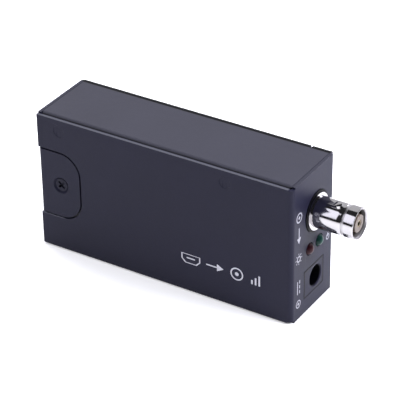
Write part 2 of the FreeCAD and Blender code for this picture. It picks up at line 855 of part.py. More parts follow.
# Coaxial socket: moulded housing with a round collar through the end panel.
def make_socket():
    half = d.socket_housing_width / 2
    back = end_inside - d.socket_housing_depth
    front = end_inside - d.seam
    top = d.board_face + d.socket_housing_height
    block = box("socket_block", (back, d.board_face, d.socket_height - half),
                (front, top, d.socket_height + half))
    collar = rod("socket_collar", "x", (front, socket_axis, d.socket_height),
                 end_face + d.collar_proud - front, d.collar_radius)
    blank = fuse("socket_blank", [block, collar])
    bore_back = end_face - d.barrel_tail
    bore = rod("socket_bore", "x", (bore_back, socket_axis, d.socket_height),
               end_face + d.collar_proud - bore_back, d.barrel_radius + d.barrel_play)
    tail_hole = rod("socket_tail_hole", "x", (back, socket_axis, d.socket_height),
                    bore_back - back, d.tail_radius + d.pin_play)
    edge = d.socket_housing_edge
    steps = []
    for name, low in (("low", d.socket_height - half), ("high", d.socket_height + half - edge)):
        steps.append(box("socket_step_" + name, (back, top - edge, low),
                         (front, top, low + edge)))
    keep("socket_housing", cut("socket_housing", blank, [bore, tail_hole] + steps))

    # Metal shell: tail, flange, barrel with a tapered shoulder, groove and nose, and two lugs.
    tail = end_face - d.barrel_tail
    flange = end_face + d.collar_proud
    mouth = end_face + d.socket_reach
    nose = mouth - d.nose_length
    groove = nose - d.groove_width
    shoulder = groove - d.shoulder_length
    flare = d.mouth_chamfer
    deep = mouth - d.mouth_depth
    shell = revolved("socket_barrel", [
        (tail, d.throat_radius),
        (tail, d.barrel_radius),
        (flange, d.barrel_radius),
        (flange, d.flange_radius),
        (flange + d.flange_thickness, d.flange_radius),
        (flange + d.flange_thickness, d.barrel_radius),
        (shoulder, d.barrel_radius),
        (groove, d.barrel_radius - d.shoulder_drop),
        (groove, d.barrel_radius - d.groove_depth),
        (nose, d.barrel_radius - d.groove_depth),
        (nose, d.nose_radius),
        (mouth - d.rim_chamfer, d.nose_radius),
        (mouth, d.nose_radius - d.rim_chamfer),
        (mouth, d.mouth_radius + flare),
        (mouth - flare, d.mouth_radius),
        (deep, d.mouth_radius),
        (deep, d.throat_radius),
    ], socket_axis, d.socket_height)
    lugs = []
    for side in (0, 1):
        lug = doc.addObject("Part::Cylinder", "lug_%d" % side)
        tilt = d.lug_turn.value + 180 * side
        lug.Placement = Placement(Vector(), Rotation(Vector(1, 0, 0), tilt))
        bind(lug, "Radius", d.lug_radius)
        bind(lug, "Height", d.lug_span / 2)
        place(lug, (mouth - d.lug_setback, socket_axis, d.socket_height))
        lugs.append(lug)
    lug_pair = fuse("lug_pair", lugs)
    core = rod("lug_core", "x", (flange, socket_axis, d.socket_height), nose - flange,
               (d.barrel_radius - d.groove_depth + d.mouth_radius) / 2)
    keep("socket_shell", fuse("socket_shell", [shell, cut("lugs", lug_pair, [core])]))

    # Insulator: a plug in the throat, a shelf in the mouth and a slim nose.
    shelf = deep + d.insulator_shelf
    play = d.insulator_play
    bore_radius = d.contact_radius + d.contact_play
    tip = mouth - d.insulator_nose_setback
    keep("socket_insulator", revolved("socket_insulator", [
        (tail + play, bore_radius),
        (tail + play, d.throat_radius - play),
        (deep + play, d.throat_radius - play),
        (deep + play, d.mouth_radius - play),
        (shelf, d.mouth_radius - play),
        (shelf, d.insulator_nose_radius),
        (tip - play, d.insulator_nose_radius),
        (tip, d.insulator_nose_radius - play),
        (tip, bore_radius),
    ], socket_axis, d.socket_height))

    # Inner contact: a drilled socket, and a tail that turns down to the board.
    contact_tip = mouth - d.contact_setback
    stem = rod("contact_stem", "x", (tail + play, socket_axis, d.socket_height),
               contact_tip - tail - play, d.contact_radius)
    drilled = rod("contact_drill", "x",
                  (contact_tip - d.contact_bore_depth, socket_axis, d.socket_height),
                  d.contact_bore_depth, d.contact_bore)
    tail_x = socket_tail_x()
    run = rod("contact_run", "x", (tail_x, socket_axis, d.socket_height),
              tail + play - tail_x, d.tail_radius)
    drop = rod("contact_drop", "y", (tail_x, pin_end, d.socket_height),
               socket_axis - pin_end, d.tail_radius)
    elbow = doc.addObject("Part::Sphere", "contact_elbow")
    bind(elbow, "Radius", d.tail_radius)
    place(elbow, (tail_x, socket_axis, d.socket_height))
    keep("socket_contact", fuse("socket_contact", [
        cut("contact_socket", stem, [drilled]), run, drop, elbow]))

    legs = [rod("socket_leg_%d" % i, "y", (x, pin_end, z), d.board_face - pin_end, d.leg_radius)
            for i, (x, z) in enumerate(socket_leg_points())]
    keep("socket_legs", group("socket_legs", legs))


# Two indicator lamps, one above the other over the board, in one holder.
def make_lamps():
    front = end_inside - d.holder_gap
    back = front - d.holder_depth
    half = d.holder_width / 2
    levels = [d.board_face + d.lamp_stand, d.board_face + d.lamp_stand + d.lamp_pitch]
    block = box("holder_block", (back, d.board_face, d.lamp_height - half),
                (front, levels[1] + d.holder_top, d.lamp_height + half))
    dome_centre = end_face + d.lamp_proud - d.lamp_radius
    lamp_back = dome_centre - d.lamp_length
    rim_radius = d.lamp_radius + d.lamp_rim
    bores = []
    for number, level in enumerate(levels):
        tag = "_%d" % number
        at = (back, level, d.lamp_height)
        bores.append(rod("holder_bore" + tag, "x", at, d.holder_depth, d.lamp_radius + d.pin_play))
        bores.append(rod("holder_seat" + tag, "x", at,
                         lamp_back + d.lamp_rim_length + d.pin_play - back,
                         rim_radius + d.pin_play))
    keep("lamp_holder", cut("lamp_holder", block, bores))

    for number, label in enumerate(("lamp_red", "lamp_green")):
        level = levels[number]
        tag = "_%d" % number
        tube = rod("lamp_tube" + tag, "x", (lamp_back, level, d.lamp_height),
                   d.lamp_length, d.lamp_radius)
        rim = rod("lamp_rim" + tag, "x", (lamp_back, level, d.lamp_height),
                  d.lamp_rim_length, rim_radius)
        dome = doc.addObject("Part::Sphere", "lamp_dome" + tag)
        bind(dome, "Radius", d.lamp_radius)
        place(dome, (dome_centre, level, d.lamp_height))
        keep(label, fuse(label, [tube, rim, dome]))

    leads = []
    for index, (x, lamp, z) in enumerate(lamp_lead_points()):
        level = levels[lamp]
        run = rod("lead_run_%d" % index, "x", (x, level, z), lamp_back - x, d.lead_radius)
        drop = rod("lead_drop_%d" % index, "y", (x, pin_end, z), level - pin_end, d.lead_radius)
        bend = doc.addObject("Part::Sphere", "lead_bend_%d" % index)
        bind(bend, "Radius", d.lead_radius)
        place(bend, (x, level, z))
        leads.append(fuse("lamp_lead_%d" % index, [run, drop, bend]))
    keep("lamp_leads", group("lamp_leads", leads))


# Direct-current inlet: moulded body flush with the end panel, pin and spring.
def make_inlet():
    half = d.inlet_width / 2
    back = end_face - d.inlet_depth
    top = d.board_face + d.inlet_body_height
    block_back = end_face - d.inlet_block
    block = box("inlet_block", (block_back, d.board_face, d.inlet_height - half),
                (end_face, top, d.inlet_height + half))
    shoulder = d.inlet_shoulder
    rear = box("inlet_rear", (back, d.board_face, d.inlet_height - half + shoulder),
               (block_back, inlet_axis, d.inlet_height + half - shoulder))
    crown = rod("inlet_crown", "x", (back, inlet_axis, d.inlet_height),
                block_back - back, half - shoulder)
    bore_back = end_face - d.inlet_bore_depth
    bore = rod("inlet_bore_cut", "x", (bore_back, inlet_axis, d.inlet_height),
               d.inlet_bore_depth, d.inlet_bore)
    lead_in = cone("inlet_lead_in", "x", (end_face - d.inlet_chamfer, inlet_axis, d.inlet_height),
                   d.inlet_chamfer, d.inlet_bore, d.inlet_bore + d.inlet_chamfer)
    pin_hole = rod("inlet_pin_hole", "x", (back, inlet_axis, d.inlet_height),
                   bore_back - back, d.inlet_pin_radius + d.contact_play)
    spring_mid = spring_middle()
    slit = d.spring_thickness / 2 + d.spring_seat
    wide = d.spring_width / 2 + d.spring_seat
    spring_slot = box("inlet_spring_slot", (back, inlet_axis - wide, spring_mid - slit),
                      (bore_back, inlet_axis + wide, spring_mid + slit))
    blank = fuse("inlet_blank", [block, rear, crown])
    keep("inlet_housing", cut("inlet_housing", blank, [bore, lead_in, pin_hole, spring_slot]))

    blade_front = inlet_blade_x()
    pin_tip = end_face - d.inlet_pin_setback - d.inlet_pin_radius
    pin = rod("inlet_pin_rod", "x", (blade_front, inlet_axis, d.inlet_height),
              pin_tip - blade_front, d.inlet_pin_radius)
    nose = doc.addObject("Part::Sphere", "inlet_pin_nose")
    bind(nose, "Radius", d.inlet_pin_radius)
    place(nose, (pin_tip, inlet_axis, d.inlet_height))
    terminals = []
    for index, (z, width) in enumerate(inlet_terminals()):
        reach = inlet_axis + (d.blade_width / 2 if index == 0 else d.spring_width / 2)
        terminals.append(box("inlet_blade_%d" % index,
                             (blade_front - d.blade_thickness, pin_end, z - width / 2),
                             (blade_front, reach, z + width / 2)))
    keep("inlet_pin", fuse("inlet_pin", [pin, nose, terminals[0]]))
    leaf = box("inlet_leaf",
               (blade_front, inlet_axis - d.spring_width / 2, spring_mid - d.spring_thickness / 2),
               (bore_back + d.spring_length, inlet_axis + d.spring_width / 2,
                spring_mid + d.spring_thickness / 2))
    keep("inlet_spring", fuse("inlet_spring", [leaf, terminals[1]]))


def video_section(shrink):
    """The video socket's outline, two corners cut off, drawn in by a distance."""
    low_y = d.board_face + d.video_seat + shrink
    high_y = d.board_face + d.video_seat + d.video_height - shrink
    low_z = d.tab_middle - d.video_width / 2 + shrink
    high_z = d.tab_middle + d.video_width / 2 - shrink
    nip = d.video_chamfer
    return [(low_y, low_z + nip), (low_y + nip, low_z), (high_y, low_z), (high_y, high_z),
            (low_y + nip, high_z), (low_y, high_z - nip)]


# Digital video socket: folded shell, moulded tongue and its contact strips.
def make_video_socket():
    front = d.video_inset
    back = front + d.video_depth
    body = new_body("video_tube")
    outer = new_sketch(body, "video_outer", "YZ_Plane", front)
    outline(outer, video_section(as_size(0)))
    pad(body, outer, d.video_depth)
    inner = new_sketch(body, "video_inner", "YZ_Plane", back - d.video_wall)
    outline(inner, video_section(d.video_wall))
    pocket(body, inner, d.video_depth - d.video_wall)
    legs = []
    for index, (x, z) in enumerate(shell_leg_points()):
        legs.append(box("shell_leg_%d" % index,
                        (x - d.shell_leg_width / 2, pin_end, z - d.video_wall / 2),
                        (x + d.shell_leg_width / 2,
                         d.board_face + d.video_height / 2, z + d.video_wall / 2)))
    keep("video_shell", fuse("video_shell", [body] + legs))

    tongue_body = new_body("video_insulator")
    block_front = back - d.video_wall - d.tongue_block
    fill = new_sketch(tongue_body, "tongue_root", "YZ_Plane", block_front)
    outline(fill, video_section(d.video_wall + d.video_fit))
    pad(tongue_body, fill, d.tongue_block - d.video_fit)
    level = d.board_face + d.video_seat + d.video_height / 2
    plate_front = front + d.tongue_inset
    plate = box("tongue_plate",
                (plate_front, level - d.tongue_thickness / 2, d.tab_middle - d.tongue_width / 2),
                (block_front, level + d.tongue_thickness / 2, d.tab_middle + d.tongue_width / 2))
    keep("video_tongue", fuse("video_tongue", [tongue_body, plate]))

    strips = []
    for row, count in enumerate(VIDEO_STRIP_COUNTS):
        low_y = level + d.tongue_thickness / 2
        if row == 1:
            low_y = level - d.tongue_thickness / 2 - d.strip_thickness
        for index in range(count):
            z = d.tab_middle + (index - (count - 1) / 2) * d.strip_pitch - d.strip_width / 2
            strips.append(box("strip_%d_%d" % (row, index), (plate_front + d.strip_setback, low_y, z),
                              (block_front, low_y + d.strip_thickness, z + d.strip_width)))
    keep("video_contacts", group("video_contacts", strips))


def lead_profile(rise):
    """Side view of one formed lead: shoulder, slope and foot."""
    thick = d.lead_thickness.value
    reach = d.lead_reach.value
    bend = reach - d.lead_foot.value
    return [Vector(0, rise, 0), Vector(bend / 2, rise, 0), Vector(bend, thick, 0),
            Vector(reach, thick, 0), Vector(reach, 0, 0), Vector(bend - thick / 2, 0, 0),
            Vector(bend / 2 - thick / 2, rise - thick, 0), Vector(0, rise - thick, 0)]


def chip_leads(label, x, z, height, half, turns, count, pitch):
    """Formed leads along the sides of a chip, one row for each turn round the chip's centre."""
    width = d.lead_width.value
    points = lead_profile((d.solder_gap + height / 2).value)
    face = Part.Face(Part.makePolygon(points + [points[0]]))
    solids = []
    for turn in turns:
        for index in range(count):
            lead = face.extrude(Vector(0, 0, width))
            across = (index - (count - 1) / 2) * pitch.value - width / 2
            lead.translate(Vector(half.value, 0, across))
            lead.rotate(Vector(), Vector(0, 1, 0), turn)
            solids.append(lead)
    leads = doc.addObject("Part::Feature", label)
    leads.Shape = Part.makeCompound(solids)
    place(leads, (x, d.board_face, z))
    keep(label, leads)


def chip(name, x, z, length, width, height):
    """A flat block on its solder on the board, centred on grid X and Z."""
    foot = d.board_face + d.solder_gap
    return box(name, (x - length / 2, foot, z - width / 2),
               (x + length / 2, foot + height, z + width / 2))


# Chips.
def make_chips():
    keep("receiver_chip", chip("receiver_chip", d.receiver_x, chip_level,
                               d.receiver_side, d.receiver_side, d.receiver_height))
    chip_leads("receiver_leads", d.receiver_x, chip_level, d.receiver_height,
               d.receiver_side / 2, (0, 90, 180, 270), RECEIVER_LEAD_COUNT, d.receiver_lead_pitch)
    keep("controller_chip", chip("controller_chip", d.controller_x, board_middle - d.controller_drop,
                                 d.controller_length, d.controller_width, d.controller_height))
    chip_leads("controller_leads", d.controller_x, board_middle - d.controller_drop, d.controller_height,
               d.controller_width / 2, (90, 270), CONTROLLER_LEAD_COUNT, d.controller_lead_pitch)
    keep("converter_chip", chip("converter_chip", d.converter_x, chip_level,
                                d.converter_side, d.converter_side, d.converter_height))
    keep("driver_chip", chip("driver_chip", d.driver_x, board_middle + d.driver_rise,
                             d.driver_side, d.driver_side, d.driver_height))


def spread(middle, pitch, count):
    """Evenly spaced places either side of a middle one."""
    return [middle + (index - (count - 1) / 2) * pitch for index in range(count)]


# Power parts along the board's lower and upper edges.
def make_power_parts():
    pitch = d.can_base_side + d.can_gap
    level = board_low + d.can_base_side / 2 + d.can_margin
    foot = d.board_face + d.solder_gap + d.can_base_height
    straight = d.can_height - d.can_top_chamfer
    bases = []
    cans = []
    for index, x in enumerate(spread(d.converter_x, pitch, CAN_COUNT)):
        bases.append(chip("can_base_%d" % index, x, level, d.can_base_side, d.can_base_side,
                          d.can_base_height))
        tube = rod("can_tube_%d" % index, "y", (x, foot, level), straight, d.can_radius)
        brow = cone("can_brow_%d" % index, "y", (x, foot + straight, level),
                    d.can_top_chamfer, d.can_radius, d.can_radius - d.can_top_chamfer)
        cans.append(fuse("can_%d" % index, [tube, brow]))
    keep("capacitor_bases", group("capacitor_bases", bases))
    keep("capacitor_cans", group("capacitor_cans", cans))

    level = chip_level + d.converter_side / 2 + d.inductor_gap + d.inductor_side / 2
    pitch = d.inductor_side + d.can_gap
    chokes = [chip("inductor_%d" % index, x, level, d.inductor_side, d.inductor_side,
                   d.inductor_height)
              for index, x in enumerate(spread(d.converter_x, pitch, INDUCTOR_COUNT))]
    keep("inductors", group("inductors", chokes))

    level = small_row_level(1) + (d.small_length + d.regulator_width) / 2 + d.regulator_gap
    regulators = [chip("regulator_%d" % index, x, level, d.regulator_length, d.regulator_width,
                       d.regulator_height)
                  for index, x in enumerate(
                      spread(d.receiver_x, d.regulator_pitch, REGULATOR_COUNT))]
    keep("regulators", group("regulators", regulators))


def small_row_level(side):
    """Grid Z of the row of small parts above or below the receiver chip."""
    return chip_level + side * (d.receiver_side / 2 + d.lead_reach + d.small_pitch)


# Crystals, surge protection and the rows of small parts between the chips.
def make_small_parts():
    controller_end = d.controller_x - d.controller_length / 2
    converter_end = d.converter_x + d.converter_side / 2
    crystals = [
        chip("crystal_0", controller_end - d.crystal_gap - d.crystal_width / 2,
             board_middle - d.controller_drop, d.crystal_width, d.crystal_length,
             d.crystal_height),
        chip("crystal_1", converter_end + d.crystal_gap + d.crystal_length / 2,
             chip_level - d.crystal_length, d.crystal_length, d.crystal_width,
             d.crystal_height),
    ]
    keep("crystals", group("crystals", crystals))

    column = d.video_inset + d.video_depth + d.surge_length
    places = spread(d.tab_middle, d.surge_pitch, SURGE_ARRAY_COUNT)
    surge = [chip("surge_%d" % index, column, z, d.surge_length, d.surge_width, d.surge_height)
             for index, z in enumerate(places)]
    keep("surge_arrays", group("surge_arrays", surge))

    capacitors = []
    resistors = []

    def add_capacitor(x, z):
        name = "capacitor_%d" % len(capacitors)
        capacitors.append(chip(name, x, z, d.small_width, d.small_length, d.capacitor_height))

    def add_resistor(x, z, length, width):
        name = "resistor_%d" % len(resistors)
        resistors.append(chip(name, x, z, length, width, d.resistor_height))

    for x in spread(d.receiver_x, d.small_pitch, RECEIVER_ROW_COUNT):
        add_capacitor(x, small_row_level(1))
        add_resistor(x, small_row_level(-1), d.small_width, d.small_length)
    for x in spread(d.converter_x, d.small_pitch, CONVERTER_ROW_COUNT):
        add_capacitor(x, chip_level - d.converter_side / 2 - d.small_pitch)
    for z in spread(chip_level, d.small_pitch, CONVERTER_COLUMN_COUNT):
        add_resistor(d.converter_x - d.converter_side / 2 - d.small_pitch, z,
                     d.small_length, d.small_width)
    keep("chip_capacitors", group("chip_capacitors", capacitors))
    keep("chip_resistors", group("chip_resistors", resistors))


def write_parts():
    """Checks every object and writes one file for each finished piece."""
    doc.recompute()
    for thing in doc.Objects:
        if "Invalid" in thing.State or "Error" in thing.State:
            raise RuntimeError("%s is %s" % (thing.Name, thing.State))
    for thing in nodes:
        shape = thing.Shape
        if shape.isNull() or not shape.isValid():
            raise RuntimeError(thing.Label + " has no valid shape")
    os.makedirs("parts", exist_ok=True)
    for thing in nodes:
        thing.Shape.exportStep(os.path.join("parts", thing.Label + ".step"))
    print("%d pieces written" % len(nodes))


make_front_shell()
make_back_shell()
make_inner_channel()
make_case_screw()
make_standoffs()
make_board()
make_socket()
make_lamps()
make_inlet()
make_video_socket()
make_chips()
make_power_parts()
make_small_parts()
write_parts()
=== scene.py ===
import math
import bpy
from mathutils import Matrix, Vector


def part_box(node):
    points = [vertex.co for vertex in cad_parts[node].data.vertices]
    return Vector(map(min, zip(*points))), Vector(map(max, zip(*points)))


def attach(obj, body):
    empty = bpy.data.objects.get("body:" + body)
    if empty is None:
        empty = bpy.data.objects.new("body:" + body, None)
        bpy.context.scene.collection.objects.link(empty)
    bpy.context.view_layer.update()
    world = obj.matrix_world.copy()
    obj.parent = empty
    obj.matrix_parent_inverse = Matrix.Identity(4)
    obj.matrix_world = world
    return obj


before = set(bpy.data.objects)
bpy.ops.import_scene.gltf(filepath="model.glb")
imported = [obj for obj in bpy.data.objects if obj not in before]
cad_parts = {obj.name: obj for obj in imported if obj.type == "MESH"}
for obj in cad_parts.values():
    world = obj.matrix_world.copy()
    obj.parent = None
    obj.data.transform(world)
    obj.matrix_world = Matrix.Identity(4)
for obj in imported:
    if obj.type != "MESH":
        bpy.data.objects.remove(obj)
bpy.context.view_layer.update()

from types import SimpleNamespace

import bmesh
import bpy
from mathutils import Matrix, Vector

bl_info = {
    "name": "Video converter",
    "version": (1, 0, 0),
    "blender": (4, 5, 0),
    "location": "View3D > Sidebar > Converter",
    "description": "Finishes, printed marks and studio for a pocket video converter",
    "category": "Object",
}

MM = 0.001
BODY = "root"


def node_box(name):
    """Lowest and highest corner of one CAD node, in metres."""
    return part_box(name)


# Shader building

class Shade:
    """A number over a surface. Arithmetic on it adds the nodes that work it out."""

    def __init__(self, finish, socket):
        self.finish = finish
        self.socket = socket

    def maths(self, operation, *values, clamp=False):
        """The result of one calculation on numbers or other shades."""
        node = self.finish.add("ShaderNodeMath", {"operation": operation, "use_clamp": clamp},
                               dict(enumerate(values)))
        return Shade(self.finish, node.outputs[0])

    def __add__(self, other):
        return self.maths("ADD", self, other)

    def __radd__(self, other):
        return self.maths("ADD", other, self)

    def __sub__(self, other):
        return self.maths("SUBTRACT", self, other)

    def __rsub__(self, other):
        return self.maths("SUBTRACT", other, self)

    def __mul__(self, other):
        return self.maths("MULTIPLY", self, other)

    def __rmul__(self, other):
        return self.maths("MULTIPLY", other, self)

    def __pow__(self, other):
        return self.maths("POWER", self, other)

    def above(self, level, blur):
        """0 below a level and 1 above it, with a soft step."""
        return self.maths("MULTIPLY_ADD", self - level, 1 / blur, 0.5, clamp=True)


class Nodes:
    """A node tree that is built one node at a time."""

    def __init__(self, tree):
        self.tree = tree

    def add(self, kind, settings=None, inputs=None):
        """Adds a node, sets it up, then gives its sockets values or links."""
        node = self.tree.nodes.new(kind)
        for key, value in (settings or {}).items():
            setattr(node, key, value)
        for key, value in (inputs or {}).items():
            if isinstance(value, Shade):
                value = value.socket
            if isinstance(value, bpy.types.NodeSocket):
                self.tree.links.new(value, node.inputs[key])
            else:
                node.inputs[key].default_value = value
        return node


class Finish(Nodes):
    """One material: its shader, and the nodes that vary it over the surface."""

    def __init__(self, name, **constants):
        self.material = bpy.data.materials.new(name)
        self.material.use_nodes = True
        super().__init__(self.material.node_tree)
        self.tree.nodes.clear()
        self.shader = self.add("ShaderNodeBsdfPrincipled")
        self.add("ShaderNodeOutputMaterial", None, {"Surface": self.shader.outputs[0]})
        for socket, value in constants.items():
            self.shader.inputs[socket.replace("_", " ")].default_value = value
        self.position = self.add("ShaderNodeTexCoord").outputs["Object"]

    def noise(self, size, detail=3.0, stretch=(1, 1, 1)):
        """Cloudy noise from 0 to 1 whose features are about size metres across."""
        where = self.add("ShaderNodeMapping", None, {"Vector": self.position, "Scale": stretch})
        node = self.add("ShaderNodeTexNoise", None,
                        {"Vector": where.outputs[0], "Scale": 1 / size, "Detail": detail})
        return Shade(self, node.outputs["Fac"])

    def cells(self, size):
        """Distance from the middle of rounded cells that are size metres across."""
        node = self.add("ShaderNodeTexVoronoi", None,
                        {"Vector": self.position, "Scale": 1 / size})
        return Shade(self, node.outputs["Distance"])

    def axis(self, letter):
        """One of the three Object coordinates, in metres."""
        split = self.add("ShaderNodeSeparateXYZ", None, {"Vector": self.position})
        return Shade(self, split.outputs[letter])

    def from_line(self, centre):
        """Distance from the line along X through a centre, in metres."""
        across = self.axis("Y") - centre.y
        upward = self.axis("Z") - centre.z
        return (across * across + upward * upward) ** 0.5

    def mix(self, share, first, second):
        """A colour between two, by a share from 0 to 1."""
        node = self.add("ShaderNodeMix", {"data_type": "RGBA"},
                        {0: share, 6: self.colour(first), 7: self.colour(second)})
        return node.outputs[2]

    def colour(self, value):
        """A colour with its alpha, or the link that carries one."""
        return value if isinstance(value, bpy.types.NodeSocket) else (*value, 1.0)

    def drive(self, socket, value):
        """Feeds one input of the shader."""
        if isinstance(value, Shade):
            value = value.socket
        self.tree.links.new(value, self.shader.inputs[socket])

    def bump(self, height, depth):
        """Raises the surface by height, from 0 to 1, times depth in metres."""
        node = self.add("ShaderNodeBump", None,
                        {"Height": height, "Distance": depth, "Strength": 1.0})
        self.tree.links.new(node.outputs[0], self.shader.inputs["Normal"])


# Finishes: the values above each function are its shades, as scales of the colour, its shine,
# and the sizes and depths of its texture. In a sum, the factor is how much each texture adds.

def scaled(colour, scale):
    """A darker or lighter shade of a colour."""
    return tuple(min(1.0, part * scale) for part in colour)


COAT = SimpleNamespace(dark=0.66, light=1.34, flow=9, speck=2.2, patch=22 * MM, relief=0.03 * MM)


def powder_coat(name, colour, roughness, grain, gloss, painted_rims=()):
    """Sprayed and baked coat with a fine grain, a slight flow and a trace of handling.

    The flow and the specks are sized as multiples of the grain.
    The rims carry painted highlights and painted shade. Each rim is a colour and the limits of
    where it lies: an axis, a level on it and the width of the change there, which is negative
    where the colour lies below the level.
    """
    coat = Finish(name, Specular_IOR_Level=gloss)
    fine = coat.noise(grain, detail=2.0)
    flow = coat.noise(grain * COAT.flow, detail=2.0)
    patch = coat.noise(COAT.patch, detail=4.0)
    speck = coat.cells(grain * COAT.speck).above(0.1, 0.08)
    surface = coat.mix(fine * 0.55 + patch * 0.45, scaled(colour, COAT.dark),
                       scaled(colour, COAT.light))
    for tint, *limits in painted_rims:
        share = math.prod(coat.axis(letter).above(level, width) for letter, level, width in limits)
        surface = coat.mix(share, surface, tint)
    coat.drive("Base Color", surface)
    coat.drive("Roughness", roughness - 0.05 + patch * 0.07 + speck * 0.03)
    coat.bump(fine * 0.6 + flow * 0.9 + speck * 0.2, COAT.relief)
    return coat.material


TURNED = SimpleNamespace(warm=(0.93, 0.9, 0.86), smear=3 * MM, along=0.02, blur=0.2 * MM,
                         relief=0.004 * MM)


def turned_metal(name, colour, roughness, ring, bore=None):
    """Plated metal turned on a lathe, with fine rings along X and faint wipe marks.

    A bore has the middle of its mouth and its radius. It is duller by some roughness down to
    a depth, and is painted a warm, barely metallic colour in a band that comes in below its mouth
    and ends at a depth of its own.
    """
    metal = Finish(name, Metallic=1.0)
    rings = metal.noise(ring, 1.0, (1, TURNED.along, TURNED.along))
    smear = metal.noise(TURNED.smear, detail=4.0)
    warm = tuple(part * scale for part, scale in zip(colour, TURNED.warm))
    surface = metal.mix(smear, warm, colour)
    if bore:
        inside = 1.0 - metal.from_line(bore.mouth).above(bore.radius, TURNED.blur)
        reach = metal.axis("X")
        dulled = inside * reach.above(bore.mouth.x - bore.dull_depth, 5 * TURNED.blur)
        roughness = roughness + dulled * bore.dull
        warm_band = inside * reach.above(bore.mouth.x - bore.haze_depth, TURNED.blur)
        warm_band = warm_band * reach.above(bore.mouth.x - bore.haze_start, -2 * bore.haze_start)
        surface = metal.mix(warm_band, surface, bore.haze)
        metal.drive("Metallic", 1.0 - warm_band * 0.9)
    metal.drive("Base Color", surface)
    metal.drive("Roughness", roughness + smear * 0.07 + rings * 0.04)
    metal.bump(rings, TURNED.relief)
    return metal.material


PRESSED = SimpleNamespace(dull=0.8, grain=0.4 * MM, along=0.15, patch=4 * MM, relief=0.005 * MM)


def pressed_metal(name, colour, roughness):
    """Plated sheet or wire with a rolled grain and small dull patches."""
    metal = Finish(name, Metallic=1.0)
    grain = metal.noise(PRESSED.grain, 3.0, (PRESSED.along, 1, 1))
    patch = metal.noise(PRESSED.patch)
    metal.drive("Base Color", metal.mix(patch, scaled(colour, PRESSED.dull), colour))
    metal.drive("Roughness", roughness + grain * 0.12 + patch * 0.06)
    metal.bump(grain, PRESSED.relief)
    return metal.material


MOULDED = SimpleNamespace(deep=0.82, light=1.12, flow=6 * MM, relief=0.008 * MM)


def moulded(name, colour, roughness, grain, gloss=0.5):
    """Moulded plastic with the fine pits of a sparked mould and faint flow."""
    plastic = Finish(name, Specular_IOR_Level=gloss)
    pits = plastic.cells(grain)
    flow = plastic.noise(MOULDED.flow)
    plastic.drive("Base Color", plastic.mix(flow, scaled(colour, MOULDED.deep),
                                            scaled(colour, MOULDED.light)))
    plastic.drive("Roughness", roughness + pits * 0.12 + flow * 0.06)
    plastic.bump(pits, MOULDED.relief)
    return plastic.material


# black is painted shade: the inlet's bore and a border round its face, where the bore and the seam
# lie in shade.
INLET = SimpleNamespace(colour=(0.0125, 0.0125, 0.025), pale=1.15, black=(0.001, 0.001, 0.002),
                        gloss=0.12, roughness=0.42, grain=0.24 * MM, face=0.25 * MM,
                        border=0.4 * MM, edge=0.1 * MM)


def inlet_moulding(name, low, high):
    """Moulded plastic that matches the panel, with painted shade in black down its bore and along
    its border.
    """
    plastic = Finish(name, Specular_IOR_Level=INLET.gloss)
    pits = plastic.cells(INLET.grain)
    flow = plastic.noise(MOULDED.flow)
    shade = plastic.axis("X").above(high.x - INLET.face, 2 * INLET.edge)
    for letter, near, far in (("Y", low.y, high.y), ("Z", low.z, high.z)):
        place = plastic.axis(letter)
        shade = shade * place.above(near + INLET.border, INLET.edge)
        shade = shade * place.above(far - INLET.border, -INLET.edge)
    outside = plastic.mix(flow, INLET.colour, scaled(INLET.colour, INLET.pale))
    plastic.drive("Base Color", plastic.mix(shade, INLET.black, outside))
    plastic.drive("Roughness", INLET.roughness + pits * 0.1 + flow * 0.05)
    plastic.bump(pits, MOULDED.relief)
    return plastic.material


# deep and pale scale the lens colour for the painted shade at its rim and the painted glow in its
# middle.
LENS = SimpleNamespace(deep=0.6, pale=1.3, coat=0.06, gloss=0.1, roughness=0.3,
                       painted_glow=0.8 * MM, fade=1.4 * MM, haze=0.7 * MM, relief=0.004 * MM)


def lens(name, colour, centre):
    """Diffused lamp epoxy, unlit: paler in its middle over the chip as a painted glow, and deeper
    towards the rim as painted shade.
    """
    epoxy = Finish(name, Coat_Weight=LENS.coat, Coat_Roughness=0.12,
                   Specular_IOR_Level=LENS.gloss)
    painted_glow = 1.0 - epoxy.from_line(centre).above(LENS.painted_glow, LENS.fade)
    haze = epoxy.noise(LENS.haze, detail=2.0)
    epoxy.drive("Base Color", epoxy.mix(painted_glow * 0.85 + haze * 0.15, scaled(colour, LENS.deep),
                                        scaled(colour, LENS.pale)))
    epoxy.drive("Roughness", LENS.roughness + haze * 0.1)
    epoxy.bump(haze, LENS.relief)
    return epoxy.material


BOARD = SimpleNamespace(mask=(0.012, 0.11, 0.05), bright=1.7, lift=0.01, coat=0.4,
                        roughness=0.32, weave=0.6 * MM, thread=0.3, tracks=3.2 * MM,
                        relief=0.02 * MM)


def laminate(name, colour):
    """Solder mask over woven glass, with the raised lines of the copper beneath."""
    board = Finish(name, Coat_Weight=BOARD.coat, Coat_Roughness=0.2)
    warp = board.noise(BOARD.weave, 1.0, (1, 1, BOARD.thread))
    weft = board.noise(BOARD.weave, 1.0, (BOARD.thread, 1, 1))
    weave = warp * weft
    tracks = board.cells(BOARD.tracks).above(0.32, 0.03)
    bright = tuple(min(1.0, part * BOARD.bright + BOARD.lift) for part in colour)
    board.drive("Base Color", board.mix(tracks * 0.8 + weave * 0.2, colour, bright))
    board.drive("Roughness", BOARD.roughness + weave * 0.2)
    board.bump(tracks + weave * 0.2, BOARD.relief)
    return board.material


INK = SimpleNamespace(worn=0.78, gloss=0.35, roughness=0.5, grain=0.18 * MM, patch=1.2 * MM,
                      relief=0.004 * MM)


def ink(name, colour):
    """Screen-printed ink, slightly uneven."""
    paint = Finish(name, Specular_IOR_Level=INK.gloss)
    grain = paint.noise(INK.grain, detail=2.0)
    patch = paint.noise(INK.patch)
    paint.drive("Base Color", paint.mix(grain * 0.4 + patch * 0.6, scaled(colour, INK.worn),
                                        colour))
    paint.drive("Roughness", INK.roughness + grain * 0.2)
    paint.bump(grain, INK.relief)
    return paint.material


# Meshes

